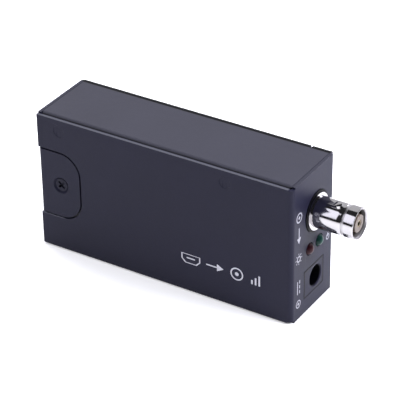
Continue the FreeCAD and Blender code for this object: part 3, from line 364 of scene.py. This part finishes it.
class Group(Nodes):
    """A Geometry Nodes group with named inputs."""

    def __init__(self, name, inputs):
        super().__init__(bpy.data.node_groups.new(name, "GeometryNodeTree"))
        sockets = self.tree.interface
        sockets.new_socket("Geometry", in_out="INPUT", socket_type="NodeSocketGeometry")
        for label, kind in inputs.items():
            sockets.new_socket(label, in_out="INPUT", socket_type=kind)
        sockets.new_socket("Geometry", in_out="OUTPUT", socket_type="NodeSocketGeometry")
        self.given = self.add("NodeGroupInput").outputs

    def give(self, geometry):
        """Names the geometry that the group returns."""
        self.add("NodeGroupOutput", None, {"Geometry": geometry})

    def use(self, obj, values):
        """Puts the group on an object and sets its inputs by their identifiers."""
        modifier = obj.modifiers.new(self.tree.name, "NODES")
        modifier.node_group = self.tree
        for item in self.tree.interface.items_tree:
            if item.in_out == "INPUT" and item.name in values:
                modifier[item.identifier] = values[item.name]


def soft_shading():
    """Shades a mesh smooth except over edges sharper than an angle."""
    group = Group("soft shading", {"Sharp angle": "NodeSocketFloat"})
    faces = group.add("GeometryNodeSetShadeSmooth", None,
                      {"Geometry": group.given["Geometry"], "Shade Smooth": True})
    angle = group.add("GeometryNodeInputMeshEdgeAngle").outputs["Unsigned Angle"]
    sharp = group.add("FunctionNodeCompare", {"operation": "GREATER_THAN"},
                      {"A": angle, "B": group.given["Sharp angle"]})
    edges = group.add("GeometryNodeSetShadeSmooth", {"domain": "EDGE"},
                      {"Geometry": faces.outputs[0], "Selection": sharp.outputs["Result"],
                       "Shade Smooth": False})
    group.give(edges.outputs[0])
    return group


def stroke_row():
    """Repeats one shape along a line, turned and grown a little more each time."""
    group = Group("stroke row", {
        "Count": "NodeSocketInt", "Step": "NodeSocketVector", "Turn": "NodeSocketVector",
        "Growth": "NodeSocketVector", "Ink": "NodeSocketMaterial"})
    points = group.add("GeometryNodeMeshLine", None,
                       {"Count": group.given["Count"], "Offset": group.given["Step"]})
    index = group.add("GeometryNodeInputIndex").outputs[0]
    turn = group.add("ShaderNodeVectorMath", {"operation": "SCALE"},
                     {0: group.given["Turn"], "Scale": index})
    size = group.add("ShaderNodeVectorMath", {"operation": "MULTIPLY_ADD"},
                     {0: group.given["Growth"], 1: index, 2: (1, 1, 1)})
    row = group.add("GeometryNodeInstanceOnPoints", None,
                    {"Points": points.outputs[0], "Instance": group.given["Geometry"],
                     "Rotation": turn.outputs[0], "Scale": size.outputs[0]})
    real = group.add("GeometryNodeRealizeInstances", None, {"Geometry": row.outputs[0]})
    inked = group.add("GeometryNodeSetMaterial", None,
                      {"Geometry": real.outputs[0], "Material": group.given["Ink"]})
    group.give(inked.outputs[0])
    return group


SOFT_SHADING = soft_shading()
STROKE_ROW = stroke_row()

# Points closer than this are joined, so that the edges can be rounded.
WELD_REACH = 0.002 * MM
# Edges sharper than the first angle are rounded, and those sharper than the second stay hard.
EDGE_SEGMENTS = 2
EDGE_ANGLE = math.radians(40)
SHARP_ANGLE = math.radians(35)


def soften(obj, edge):
    """Gives a CAD node small rounded edges and smooth curved faces."""
    weld = obj.modifiers.new("weld", "WELD")
    weld.merge_threshold = WELD_REACH
    if edge:
        bevel = obj.modifiers.new("edge", "BEVEL")
        bevel.width = edge
        bevel.segments = EDGE_SEGMENTS
        bevel.limit_method = "ANGLE"
        bevel.angle_limit = EDGE_ANGLE
        bevel.use_clamp_overlap = True
    SOFT_SHADING.use(obj, {"Sharp angle": SHARP_ANGLE})
    flat = obj.modifiers.new("flat", "WEIGHTED_NORMAL")
    flat.keep_sharp = True


# Rounding of the edges that show on small nodes.
EDGES = {
    "case_screw": 0.05 * MM,
    "socket_shell": 0.03 * MM,
    "socket_insulator": 0.06 * MM,
    "socket_housing": 0.06 * MM,
    "inlet_housing": 0.08 * MM,
    "video_shell": 0.05 * MM,
    "video_tongue": 0.05 * MM,
}


def dress(name, material, edge=None):
    """Puts a finish on one CAD node and softens its edges."""
    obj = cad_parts[name]
    for slot in obj.material_slots:
        slot.link = "DATA"
        slot.material = material
    soften(obj, EDGES.get(name) if edge is None else edge)


def finished(name, mesh, material):
    """Makes a piece from a mesh that is already in place."""
    obj = bpy.data.objects.new(name, mesh)
    bpy.context.scene.collection.objects.link(obj)
    mesh.materials.clear()
    mesh.materials.append(material)
    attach(obj, BODY)


# How far the ink stands off its face, in metres, and how far a shaft reaches into the head of
# its arrow, in millimetres.
INK_LIFT = 0.015 * MM
HEAD_OVERLAP = 0.4
CIRCLE_SIDES = 32


class Drawing:
    """Flat printed shapes on one face, drawn in millimetres across and up."""

    def __init__(self, origin, across, up):
        self.origin = Vector(origin)
        self.across = Vector(across)
        self.up = Vector(up)
        self.out = self.across.cross(self.up)
        self.mesh = bmesh.new()

    def point(self, x, y):
        """A place on the face, lifted by the thickness of the ink."""
        return self.origin + (self.across * x + self.up * y) * MM + self.out * INK_LIFT

    def face(self, outline):
        """A filled shape."""
        corners = [self.mesh.verts.new(self.point(*place)) for place in outline]
        self.mesh.faces.new(corners)

    def band(self, inner, outer):
        """A closed band between two outlines that have the same number of points."""
        low = [self.mesh.verts.new(self.point(*place)) for place in inner]
        high = [self.mesh.verts.new(self.point(*place)) for place in outer]
        for index in range(len(low)):
            after = (index + 1) % len(low)
            self.mesh.faces.new((low[index], high[index], high[after], low[after]))

    def circle(self, x, y, radius):
        """The corners of a circle's outline."""
        turns = [math.radians(360.0 * step / CIRCLE_SIDES) for step in range(CIRCLE_SIDES)]
        return [(x + radius * math.cos(turn), y + radius * math.sin(turn)) for turn in turns]

    def ring(self, x, y, radius, width):
        self.band(self.circle(x, y, radius - width / 2), self.circle(x, y, radius + width / 2))

    def target(self, x, y, radius, width, dot):
        """A ring with a dot in its middle."""
        self.ring(x, y, radius, width)
        self.face(self.circle(x, y, dot))

    def bar(self, x0, y0, x1, y1, width):
        """A straight stroke with square ends."""
        length = math.hypot(x1 - x0, y1 - y0)
        nx, ny = (y0 - y1) / length * width / 2, (x1 - x0) / length * width / 2
        self.face([(x0 - nx, y0 - ny), (x1 - nx, y1 - ny), (x1 + nx, y1 + ny), (x0 + nx, y0 + ny)])

    def arrow(self, tail, tip, width, length, half):
        """A straight shaft with a head of a length and half a breadth."""
        reach = math.dist(tail, tip)
        x, y = (tip[0] - tail[0]) / reach, (tip[1] - tail[1]) / reach
        neck = length - HEAD_OVERLAP
        self.bar(*tail, tip[0] - x * neck, tip[1] - y * neck, width)
        base = (tip[0] - x * length, tip[1] - y * length)
        self.face([(base[0] + y * half, base[1] - x * half), tip,
                   (base[0] - y * half, base[1] + x * half)])

    def loop(self, corners, width):
        """A closed line of even width round a convex outline."""
        middle = [sum(axis) / len(corners) for axis in zip(*corners)]
        inner, outer = [], []
        for x, y in corners:
            reach = math.hypot(x - middle[0], y - middle[1])
            for line, sign in ((inner, -1), (outer, 1)):
                scale = 1 + sign * width / 2 / reach
                line.append((middle[0] + (x - middle[0]) * scale,
                             middle[1] + (y - middle[1]) * scale))
        self.band(inner, outer)

    def repeat(self, name, material, place, outline, count, step=(0, 0), turn=0, growth=0):
        """Prints one shape several times, starting at a place, as a piece of its own.

        Each copy moves on by the step, turns by so many degrees and grows upwards.
        """
        corners = [(self.across * x + self.up * y) * MM for x, y in outline]
        mesh = bpy.data.meshes.new(name)
        mesh.from_pydata(corners, [], [range(len(corners))])
        seed = bpy.data.objects.new(name + " seed", mesh)
        bpy.context.scene.collection.objects.link(seed)
        STROKE_ROW.use(seed, {
            "Count": count, "Step": (self.across * step[0] + self.up * step[1]) * MM,
            "Turn": self.out * math.radians(turn), "Growth": self.up * growth,
            "Ink": material})
        graph = bpy.context.evaluated_depsgraph_get()
        baked = bpy.data.meshes.new_from_object(seed.evaluated_get(graph), depsgraph=graph)
        bpy.data.objects.remove(seed)
        baked.transform(Matrix.Translation(self.point(*place)))
        finished(name, baked, material)

    def piece(self, name, material):
        """Makes a piece of all that is drawn."""
        bmesh.ops.recalc_face_normals(self.mesh, faces=self.mesh.faces)
        for face in self.mesh.faces:
            if face.normal.dot(self.out) < 0:
                face.normal_flip()
        mesh = bpy.data.meshes.new(name)
        self.mesh.to_mesh(mesh)
        self.mesh.free()
        finished(name, mesh, material)


# Settings

class CasingSettings(bpy.types.PropertyGroup):
    colour: bpy.props.FloatVectorProperty(
        name="Shell coat", description="Colour of the outer sheets", subtype="COLOR",
        default=(0.013, 0.013, 0.0265), min=0.0, max=1.0)
    # Painted light: the channel coat is a lighter copy of the shell coat, so that the narrow top
    # looks lit from above.
    channel: bpy.props.FloatVectorProperty(
        name="Channel coat", description="Colour of the narrow top and bottom",
        subtype="COLOR", default=(0.028, 0.028, 0.039), min=0.0, max=1.0)
    # Painted highlight: a lighter colour on the sheets' upper and end edges, for the light they
    # catch.
    edge_highlight: bpy.props.FloatVectorProperty(
        name="Rubbed edge", description="Colour of the edges where the coat is thin",
        subtype="COLOR", default=(0.064, 0.066, 0.080), min=0.0, max=1.0)
    # Painted shade: near black along the back panel's upper edge and in the channel's folds.
    painted_shade: bpy.props.FloatVectorProperty(
        name="Dark edge", description="Colour of the back panel's upper edge and of the folds",
        subtype="COLOR", default=(0.002, 0.002, 0.003), min=0.0, max=1.0)
    setback: bpy.props.FloatProperty(
        name="Setback", description="How far the front panel stops short of the top",
        unit="LENGTH", default=0.45 * MM)
    lip: bpy.props.FloatProperty(
        name="Lip", description="Height of the lower edge beneath the tab", unit="LENGTH",
        default=11.25 * MM)
    roughness: bpy.props.FloatProperty(
        name="Roughness", description="Dullness of the powder coat", subtype="FACTOR",
        default=0.46, min=0.0, max=1.0)
    grain: bpy.props.FloatProperty(
        name="Grain", description="Size of the coat's fine grain", unit="LENGTH",
        default=0.28 * MM)
    edge: bpy.props.FloatProperty(
        name="Edge", description="Rounding of the coated sheet's edges", unit="LENGTH",
        default=0.12 * MM)


class SocketSettings(bpy.types.PropertyGroup):
    plating: bpy.props.FloatVectorProperty(
        name="Plating", description="Colour of the bright plating", subtype="COLOR",
        default=(0.5, 0.495, 0.51), min=0.0, max=1.0)
    shine: bpy.props.FloatProperty(
        name="Roughness", description="Dullness of the bright plating", subtype="FACTOR",
        default=0.05, min=0.0, max=1.0)
    mouth: bpy.props.FloatProperty(
        name="Mouth radius", description="Radius inside which the plating is duller",
        unit="LENGTH", default=4.5 * MM)
    # The warm colour painted in a band deep in the mouth, where the plating is made barely
    # metallic.
    haze: bpy.props.FloatVectorProperty(
        name="Haze", description="Colour that the plating takes on deep in the mouth",
        subtype="COLOR", default=(0.06, 0.048, 0.038), min=0.0, max=1.0)
    insulator: bpy.props.FloatVectorProperty(
        name="Insulator", description="Colour of the pale insulator", subtype="COLOR",
        default=(0.11, 0.084, 0.066), min=0.0, max=1.0)


class LampSettings(bpy.types.PropertyGroup):
    red: bpy.props.FloatVectorProperty(
        name="Red lens", description="Colour of the red lamp", subtype="COLOR",
        default=(0.036, 0.0035, 0.008), min=0.0, max=1.0)
    green: bpy.props.FloatVectorProperty(
        name="Green lens", description="Colour of the green lamp", subtype="COLOR",
        default=(0.003, 0.037, 0.028), min=0.0, max=1.0)


class MarkSettings(bpy.types.PropertyGroup):
    ink: bpy.props.FloatVectorProperty(
        name="Ink", description="Colour of the marks on the front panel", subtype="COLOR",
        default=(0.58, 0.58, 0.64), min=0.0, max=1.0)
    end_ink: bpy.props.FloatVectorProperty(
        name="End ink", description="Colour of the marks beside the sockets", subtype="COLOR",
        default=(0.36, 0.36, 0.40), min=0.0, max=1.0)
    stroke: bpy.props.FloatProperty(
        name="Stroke", description="Width of a printed line", unit="LENGTH",
        default=0.42 * MM)


class StageSettings(bpy.types.PropertyGroup):
    azimuth: bpy.props.FloatProperty(
        name="Azimuth", description="Direction that the camera looks along", subtype="ANGLE",
        default=math.radians(32.29))
    elevation: bpy.props.FloatProperty(
        name="Elevation", description="Height of the camera above the horizon",
        subtype="ANGLE", default=math.radians(31.61))
    roll: bpy.props.FloatProperty(
        name="Roll", description="Turn of the camera about its line of sight",
        subtype="ANGLE", default=math.radians(-0.95))
    distance: bpy.props.FloatProperty(
        name="Distance", description="Distance from the camera to the casing", unit="LENGTH",
        default=0.6002)
    lens: bpy.props.FloatProperty(
        name="Lens", description="Focal length in millimetres on a 36 mm frame",
        default=185.76)
    sideways: bpy.props.FloatProperty(
        name="Sideways", description="How far the camera stands to its right", unit="LENGTH",
        default=4.91 * MM)
    upward: bpy.props.FloatProperty(
        name="Upward", description="How far the camera stands above its line", unit="LENGTH",
        default=-0.03 * MM)


# Pieces

# Colour and roughness of each bright sheet, wire or plating.
METALS = {
    "zinc plate": ((0.62, 0.63, 0.65), 0.3),
    "gold flash": ((0.27, 0.215, 0.14), 0.34),
    "tin plate": ((0.7, 0.7, 0.72), 0.28),
    "tinned lead": ((0.7, 0.7, 0.72), 0.28),
    "inlet spring": ((0.72, 0.7, 0.66), 0.25),
    "video shell plate": ((0.76, 0.75, 0.73), 0.2),
    "contact gold": ((0.86, 0.6, 0.26), 0.2),
    "solder tin": ((0.68, 0.68, 0.7), 0.3),
    "drawn can": ((0.76, 0.76, 0.78), 0.25),
}
# Colour, roughness, size of the pits and gloss of each moulding.
MOULDINGS = {
    "black screw": ((0.013, 0.013, 0.024), 0.42, 0.25 * MM, 0.12),
    "black moulding": ((0.003, 0.003, 0.004), 0.4, 0.2 * MM, 0.08),
    "lamp holder moulding": ((0.02, 0.02, 0.023), 0.4, 0.2 * MM, 0.5),
    "tongue moulding": ((0.02, 0.02, 0.022), 0.36, 0.2 * MM, 0.5),
    "chip epoxy": ((0.03, 0.03, 0.032), 0.5, 0.15 * MM, 0.5),
    "fired ceramic": ((0.42, 0.29, 0.17), 0.5, 0.2 * MM, 0.5),
}


def dress_all(names, material):
    """Puts one finish on several CAD nodes."""
    for name in names:
        dress(name, material)


def plate(finish):
    """Makes one of the metals listed above."""
    return pressed_metal(finish, *METALS[finish])


def moulding(finish):
    """Makes one of the mouldings listed above."""
    return moulded(finish, *MOULDINGS[finish])


SHEET_GLOSS = 0.12
CHANNEL_GLOSS = 0.25
# The lip beneath the tab carries a painted highlight, paler than the painted highlights on the
# other edges, over a length from the video end.
LIP_HIGHLIGHT = 1.8
LIP_LENGTH = 8 * MM
# How deep the painted highlight and painted shade of an edge reach, and the widths of a sharp and
# of a soft change.
EDGE_DEPTH = 0.1 * MM
SHARP = 0.06 * MM
SOFT = 0.3 * MM


class CONVERTER_OT_casing(bpy.types.Operator):
    """Coats the folded sheet-metal casing"""
    bl_idname = "converter.casing"
    bl_label = "Casing"

    def execute(self, context):
        size = context.scene.converter_casing
        back_low, back_high = node_box("back_shell")
        channel_low, channel_high = node_box("inner_channel")
        end, _, top = back_high - Vector((EDGE_DEPTH, 0, EDGE_DEPTH))
        # Painted light: the sheets' upward top faces take the lighter channel coat.
        lit_top = (size.channel, ("Z", top, SHARP))
        # Painted highlight on the lip's cut face, seen through the gap beneath the tab.
        lip_highlight = (scaled(size.edge_highlight, LIP_HIGHLIGHT), ("Z", size.lip - EDGE_DEPTH, SHARP),
                    ("Z", size.lip + EDGE_DEPTH, -SHARP),
                    ("X", back_low.x + LIP_LENGTH, -5 * SOFT))
        # Painted highlights: a lighter strip along the front panel's top edge, down by the
        # setback, and along the end edge of the back sheet.
        front_edge_highlight = (size.edge_highlight, ("Z", top - size.setback, SHARP),
                      ("Y", channel_low.y - 2 * EDGE_DEPTH, -2 * SHARP))
        # Painted shade: near black over the back panel's upper edge.
        back_edge_shade = (size.painted_shade, ("Z", top, SHARP), ("Y", channel_high.y, SHARP))
        end_edge_highlight = (size.edge_highlight, ("X", end, SHARP))
        # Painted shade: dark bands where the channel folds down into the seams at the front and
        # the back.
        front_fold_shade = (size.painted_shade, ("Y", channel_low.y + 5 * EDGE_DEPTH, -SOFT))
        back_fold_shade = (size.painted_shade, ("Y", channel_high.y - 3 * EDGE_DEPTH, SOFT))
        for name, gloss, colour, painted_rims in (
                ("front_shell", SHEET_GLOSS, size.colour, (lit_top, lip_highlight, front_edge_highlight)),
                ("back_shell", SHEET_GLOSS, size.colour, (lit_top, back_edge_shade, end_edge_highlight)),
                ("inner_channel", CHANNEL_GLOSS, size.channel, (front_fold_shade, back_fold_shade))):
            coat = powder_coat(name.replace("_", " ") + " coat", colour, size.roughness,
                               size.grain, gloss, painted_rims)
            dress(name, coat, size.edge)
        dress("case_screw", moulding("black screw"))
        dress_all(("clinch_nut", "standoffs", "board_screws"), plate("zinc plate"))
        return {"FINISHED"}


class CONVERTER_OT_coaxial(bpy.types.Operator):
    """Finishes the bayonet coaxial socket"""
    bl_idname = "converter.coaxial"
    bl_label = "Coaxial socket"

    def execute(self, context):
        size = context.scene.converter_socket
        low, high = node_box("socket_shell")
        mouth = Vector((high.x, 0, 0)) + Vector((0, 1, 1)) * ((low + high) / 2)
        bore = SimpleNamespace(
            mouth=mouth, radius=size.mouth, dull=0.3, dull_depth=4 * MM, haze=size.haze,
            haze_depth=2.8 * MM, haze_start=1 * MM)
        plating = turned_metal("bright plate", size.plating, size.shine, 0.16 * MM, bore)
        dress("socket_shell", plating)
        insulator = moulded("pale insulator", size.insulator, roughness=0.38, grain=0.3 * MM)
        dress("socket_insulator", insulator)
        dress("socket_contact", plate("gold flash"))
        dress("socket_housing", moulding("black moulding"))
        dress("socket_legs", plate("tin plate"))
        return {"FINISHED"}


class CONVERTER_OT_lamps(bpy.types.Operator):
    """Finishes the two lamps and their holder"""
    bl_idname = "converter.lamps"
    bl_label = "Lamps"

    def execute(self, context):
        size = context.scene.converter_lamps
        for name, colour in (("lamp_red", size.red), ("lamp_green", size.green)):
            low, high = node_box(name)
            dress(name, lens(name.replace("_", " ") + " lens", colour, (low + high) / 2))
        dress("lamp_holder", moulding("lamp holder moulding"))
        dress("lamp_leads", plate("tinned lead"))
        return {"FINISHED"}


class CONVERTER_OT_inlet(bpy.types.Operator):
    """Finishes the power inlet"""
    bl_idname = "converter.inlet"
    bl_label = "Power inlet"

    def execute(self, context):
        dress("inlet_housing", inlet_moulding("inlet moulding", *node_box("inlet_housing")))
        pin = turned_metal("inlet pin plate", (0.3, 0.29, 0.27), roughness=0.25, ring=0.1 * MM)
        dress("inlet_pin", pin)
        dress("inlet_spring", plate("inlet spring"))
        return {"FINISHED"}


class CONVERTER_OT_video(bpy.types.Operator):
    """Finishes the flat video socket at the hidden end"""
    bl_idname = "converter.video"
    bl_label = "Video socket"

    def execute(self, context):
        dress("video_shell", plate("video shell plate"))
        dress("video_tongue", moulding("tongue moulding"))
        dress("video_contacts", plate("contact gold"))
        return {"FINISHED"}


class CONVERTER_OT_board(bpy.types.Operator):
    """Finishes the circuit board and what is soldered to it"""
    bl_idname = "converter.board"
    bl_label = "Circuit board"

    def execute(self, context):
        dress("circuit_board", laminate("solder mask", BOARD.mask))
        dress_all(("receiver_chip", "controller_chip", "converter_chip", "driver_chip",
                   "regulators", "surge_arrays", "chip_resistors", "capacitor_bases",
                   "inductors"), moulding("chip epoxy"))
        dress_all(("receiver_leads", "controller_leads"), plate("solder tin"))
        dress_all(("capacitor_cans", "crystals"), plate("drawn can"))
        dress("chip_capacitors", moulding("fired ceramic"))
        return {"FINISHED"}


class CONVERTER_OT_marks(bpy.types.Operator):
    """Prints plain pictograms beside the sockets and on the front panel"""
    bl_idname = "converter.marks"
    bl_label = "Printed marks"

    def execute(self, context):
        size = context.scene.converter_marks
        low, high = node_box("front_shell")
        end_panel = Drawing((high.x, low.y, 0), (0, 1, 0), (0, 0, 1))
        self.end_signs(end_panel, size.stroke / MM, ink("end ink", size.end_ink))
        front_panel = Drawing((low.x, low.y, 0), (1, 0, 0), (0, 0, 1))
        self.front_signs(front_panel, size.stroke / MM, ink("white ink", size.ink))
        return {"FINISHED"}

    def end_signs(self, face, line, paint):
        """Down the front column: output, arrow, lamp, direct current and its polarity."""
        column, lamp, current, polarity = 3.9, 20.4, 8.6, 5.2
        face.target(column, 34.0, 1.4, line, dot=0.48)
        face.arrow((column, 30.6), (column, 25.4), line, length=2.0, half=1.05)
        face.ring(column, lamp, 0.85, line)
        face.bar(column - 0.55, 13.0, column - 0.55, current, line)
        face.target(column, polarity, 1.15, line * 0.8, dot=0.45)

        # Beside the upper lamp: the power sign.
        across, up, thin = 20.6, 18.8, line * 0.7
        face.ring(across, up, 0.8, thin)
        face.bar(across, up, across, up + 1.4, thin)
        face.piece("socket_marks", paint)

        near, far, half = 1.3, 1.85, line / 3
        ray = ((near, -half), (far, -half), (far, half), (near, half))
        face.repeat("lamp_rays", paint, (column, lamp), ray, 8, turn=45)
        half, tall = line / 2, 1.1
        dash = ((-half, 0), (half, 0), (half, tall), (-half, tall))
        face.repeat("current_dashes", paint, (column + 0.65, current), dash, 3, step=(0, 1.65))

    def front_signs(self, face, line, paint):
        """From left to right: flat socket, arrow, round socket and level bars."""
        level, left, right = 11.6, 49.4, 55.4
        face.loop([(left, 12.9), (right, 12.9), (right, 11.2), (right - 1.2, 10.0),
                   (left + 1.2, 10.0), (left, 11.2)], line)
        face.bar(left + 1.6, 11.7, right - 1.6, 11.7, line)
        face.arrow((57.6, level), (63.4, level), line, length=2.2, half=1.2)
        face.target(67.8, level, 1.9, line, dot=0.62)
        face.piece("panel_marks", paint)
        half, tall = line * 0.65, 1.4
        post = ((-half, 0), (half, 0), (half, tall), (-half, tall))
        face.repeat("level_bars", paint, (72.8, 9.9), post, 3, step=(1.2, 0), growth=0.7)


# Studio

COOL = (0.88, 0.88, 1.0)
PALE = (0.95, 0.95, 1.0)
CENTRE = (0, 0, 0.02)
BESIDE = (0.04, 0, 0.03)
AIR_STRENGTH = 0.04
FLOOR_GLOW = 0.34
FLOOR_SHADES = (0.9, 0.9, 0.9), (0.93, 0.93, 0.93)
FLOOR_CLOUD = 0.4
FLOOR_WIDTH = 12.0
FLOOR_GAP = 0.02 * MM

# Name, place, target, width and height in metres, power in watts, colour, and whether the
# bright surfaces mirror it.
LIGHTS = (
    ("overhead softbox", (0.1, 0.2, 1.2), CENTRE, (2.0, 2.0), 25.0, PALE, False),
    ("front softbox", (-0.46, -0.62, 0.66), CENTRE, (0.6, 0.9), 3.4, COOL, True),
    ("side softbox", (0.3, 0.08, 0.26), BESIDE, (0.15, 0.15), 1.8, COOL, False),
    ("back softbox", (0.2, 0.9, 0.5), CENTRE, (0.7, 0.4), 4.5, COOL, True),
    ("left softbox", (-0.95, 0.4, 0.5), CENTRE, (0.5, 0.4), 6.0, COOL, True),
    ("back card", (-0.55, 0.86, 0.66), CENTRE, (1.3, 1.5), 5.0, PALE, True),
)

# The point of the casing that the camera looks at, from the back sheet's lowest corner.
AIM = Vector((42.825, 11.42, 22.5)) * MM
# Width of the camera's frame in millimetres, and the nearest distance that it shows in metres.
SENSOR_WIDTH = 36.0
NEAREST = 0.01


def area_light(name, place, target, size, power, colour, mirrored):
    """A soft rectangular light aimed at a point, with or without a mirror image of itself."""
    data = bpy.data.lights.new(name, "AREA")
    data.shape = "RECTANGLE"
    data.size, data.size_y = size
    data.energy = power
    data.color = colour
    obj = bpy.data.objects.new(name, data)
    obj.location = place
    obj.rotation_euler = (Vector(target) - Vector(place)).to_track_quat("-Z", "Y").to_euler()
    obj.visible_glossy = mirrored
    bpy.context.scene.collection.objects.link(obj)


class CONVERTER_OT_stage(bpy.types.Operator):
    """Sets up the floor, the soft lights and the camera"""
    bl_idname = "converter.stage"
    bl_label = "Stage"

    def execute(self, context):
        self.floor()
        self.lights()
        self.camera(context.scene.converter_stage)
        return {"FINISHED"}

    def floor(self):
        """A wide pale plane just beneath the casing."""
        surface = Finish("pale floor", Roughness=0.9, Specular_IOR_Level=0.1,
                         Emission_Color=(1, 1, 1, 1), Emission_Strength=FLOOR_GLOW)
        cloud = surface.noise(FLOOR_CLOUD, detail=2.0)
        surface.drive("Base Color", surface.mix(cloud, *FLOOR_SHADES))
        mesh = bpy.data.meshes.new("floor")
        half = FLOOR_WIDTH / 2
        mesh.from_pydata([(-half, -half, 0), (half, -half, 0), (half, half, 0), (-half, half, 0)],
                         [], [(0, 1, 2, 3)])
        mesh.materials.append(surface.material)
        obj = bpy.data.objects.new("floor", mesh)
        obj.location.z = -FLOOR_GAP
        bpy.context.scene.collection.objects.link(obj)

    def lights(self):
        """Faint light from all round, and the soft lights listed above."""
        world = bpy.data.worlds.new("studio air")
        world.use_nodes = True
        air = world.node_tree.nodes["Background"].inputs
        air["Color"].default_value = (*COOL, 1)
        air["Strength"].default_value = AIR_STRENGTH
        scene = bpy.context.scene
        scene.world = world
        scene.view_settings.view_transform = "Standard"
        for light in LIGHTS:
            area_light(*light)

    def camera(self, view):
        """Stands the camera off the casing, then shifts it across its own line of sight."""
        data = bpy.data.cameras.new("camera")
        data.sensor_width = SENSOR_WIDTH
        data.lens = view.lens
        data.clip_start = NEAREST
        target = node_box("back_shell")[0] + AIM
        azimuth, elevation, roll = view.azimuth, view.elevation, view.roll
        sight = Vector((-math.sin(azimuth) * math.cos(elevation),
                        math.cos(azimuth) * math.cos(elevation), -math.sin(elevation)))
        right = Vector((math.cos(azimuth), math.sin(azimuth), 0))
        up = right.cross(sight)
        across = right * math.cos(roll) + up * math.sin(roll)
        upright = up * math.cos(roll) - right * math.sin(roll)
        place = target - sight * view.distance + across * view.sideways + upright * view.upward
        turn = Matrix((across, upright, -sight)).transposed()
        obj = bpy.data.objects.new("camera", data)
        obj.matrix_world = Matrix.Translation(place) @ turn.to_4x4()
        bpy.context.scene.collection.objects.link(obj)
        bpy.context.scene.camera = obj


class CONVERTER_PT_panel(bpy.types.Panel):
    """Lists the converter's pieces and its stage"""
    bl_idname = "CONVERTER_PT_panel"
    bl_label = "Video converter"
    bl_space_type = "VIEW_3D"
    bl_region_type = "UI"
    bl_category = "Converter"

    def draw(self, context):
        for step in STEPS:
            self.layout.operator(step.bl_idname)
        for name in SETTINGS:
            box = self.layout.box()
            group = getattr(context.scene, name)
            for key in group.bl_rna.properties.keys():
                if key not in ("rna_type", "name"):
                    box.prop(group, key)


SETTINGS = {
    "converter_casing": CasingSettings,
    "converter_socket": SocketSettings,
    "converter_lamps": LampSettings,
    "converter_marks": MarkSettings,
    "converter_stage": StageSettings,
}
STEPS = (
    CONVERTER_OT_casing,
    CONVERTER_OT_coaxial,
    CONVERTER_OT_lamps,
    CONVERTER_OT_inlet,
    CONVERTER_OT_video,
    CONVERTER_OT_board,
    CONVERTER_OT_marks,
    CONVERTER_OT_stage,
)


def register():
    for name, group in SETTINGS.items():
        bpy.utils.register_class(group)
        setattr(bpy.types.Scene, name, bpy.props.PointerProperty(type=group))
    for step in STEPS:
        bpy.utils.register_class(step)
    bpy.utils.register_class(CONVERTER_PT_panel)


def unregister():
    bpy.utils.unregister_class(CONVERTER_PT_panel)
    for step in reversed(STEPS):
        bpy.utils.unregister_class(step)
    for name, group in reversed(list(SETTINGS.items())):
        delattr(bpy.types.Scene, name)
        bpy.utils.unregister_class(group)


def main():
    register()
    for step in STEPS:
        area, name = step.bl_idname.split(".")
        getattr(getattr(bpy.ops, area), name)()


if __name__ == "__main__":
    main()
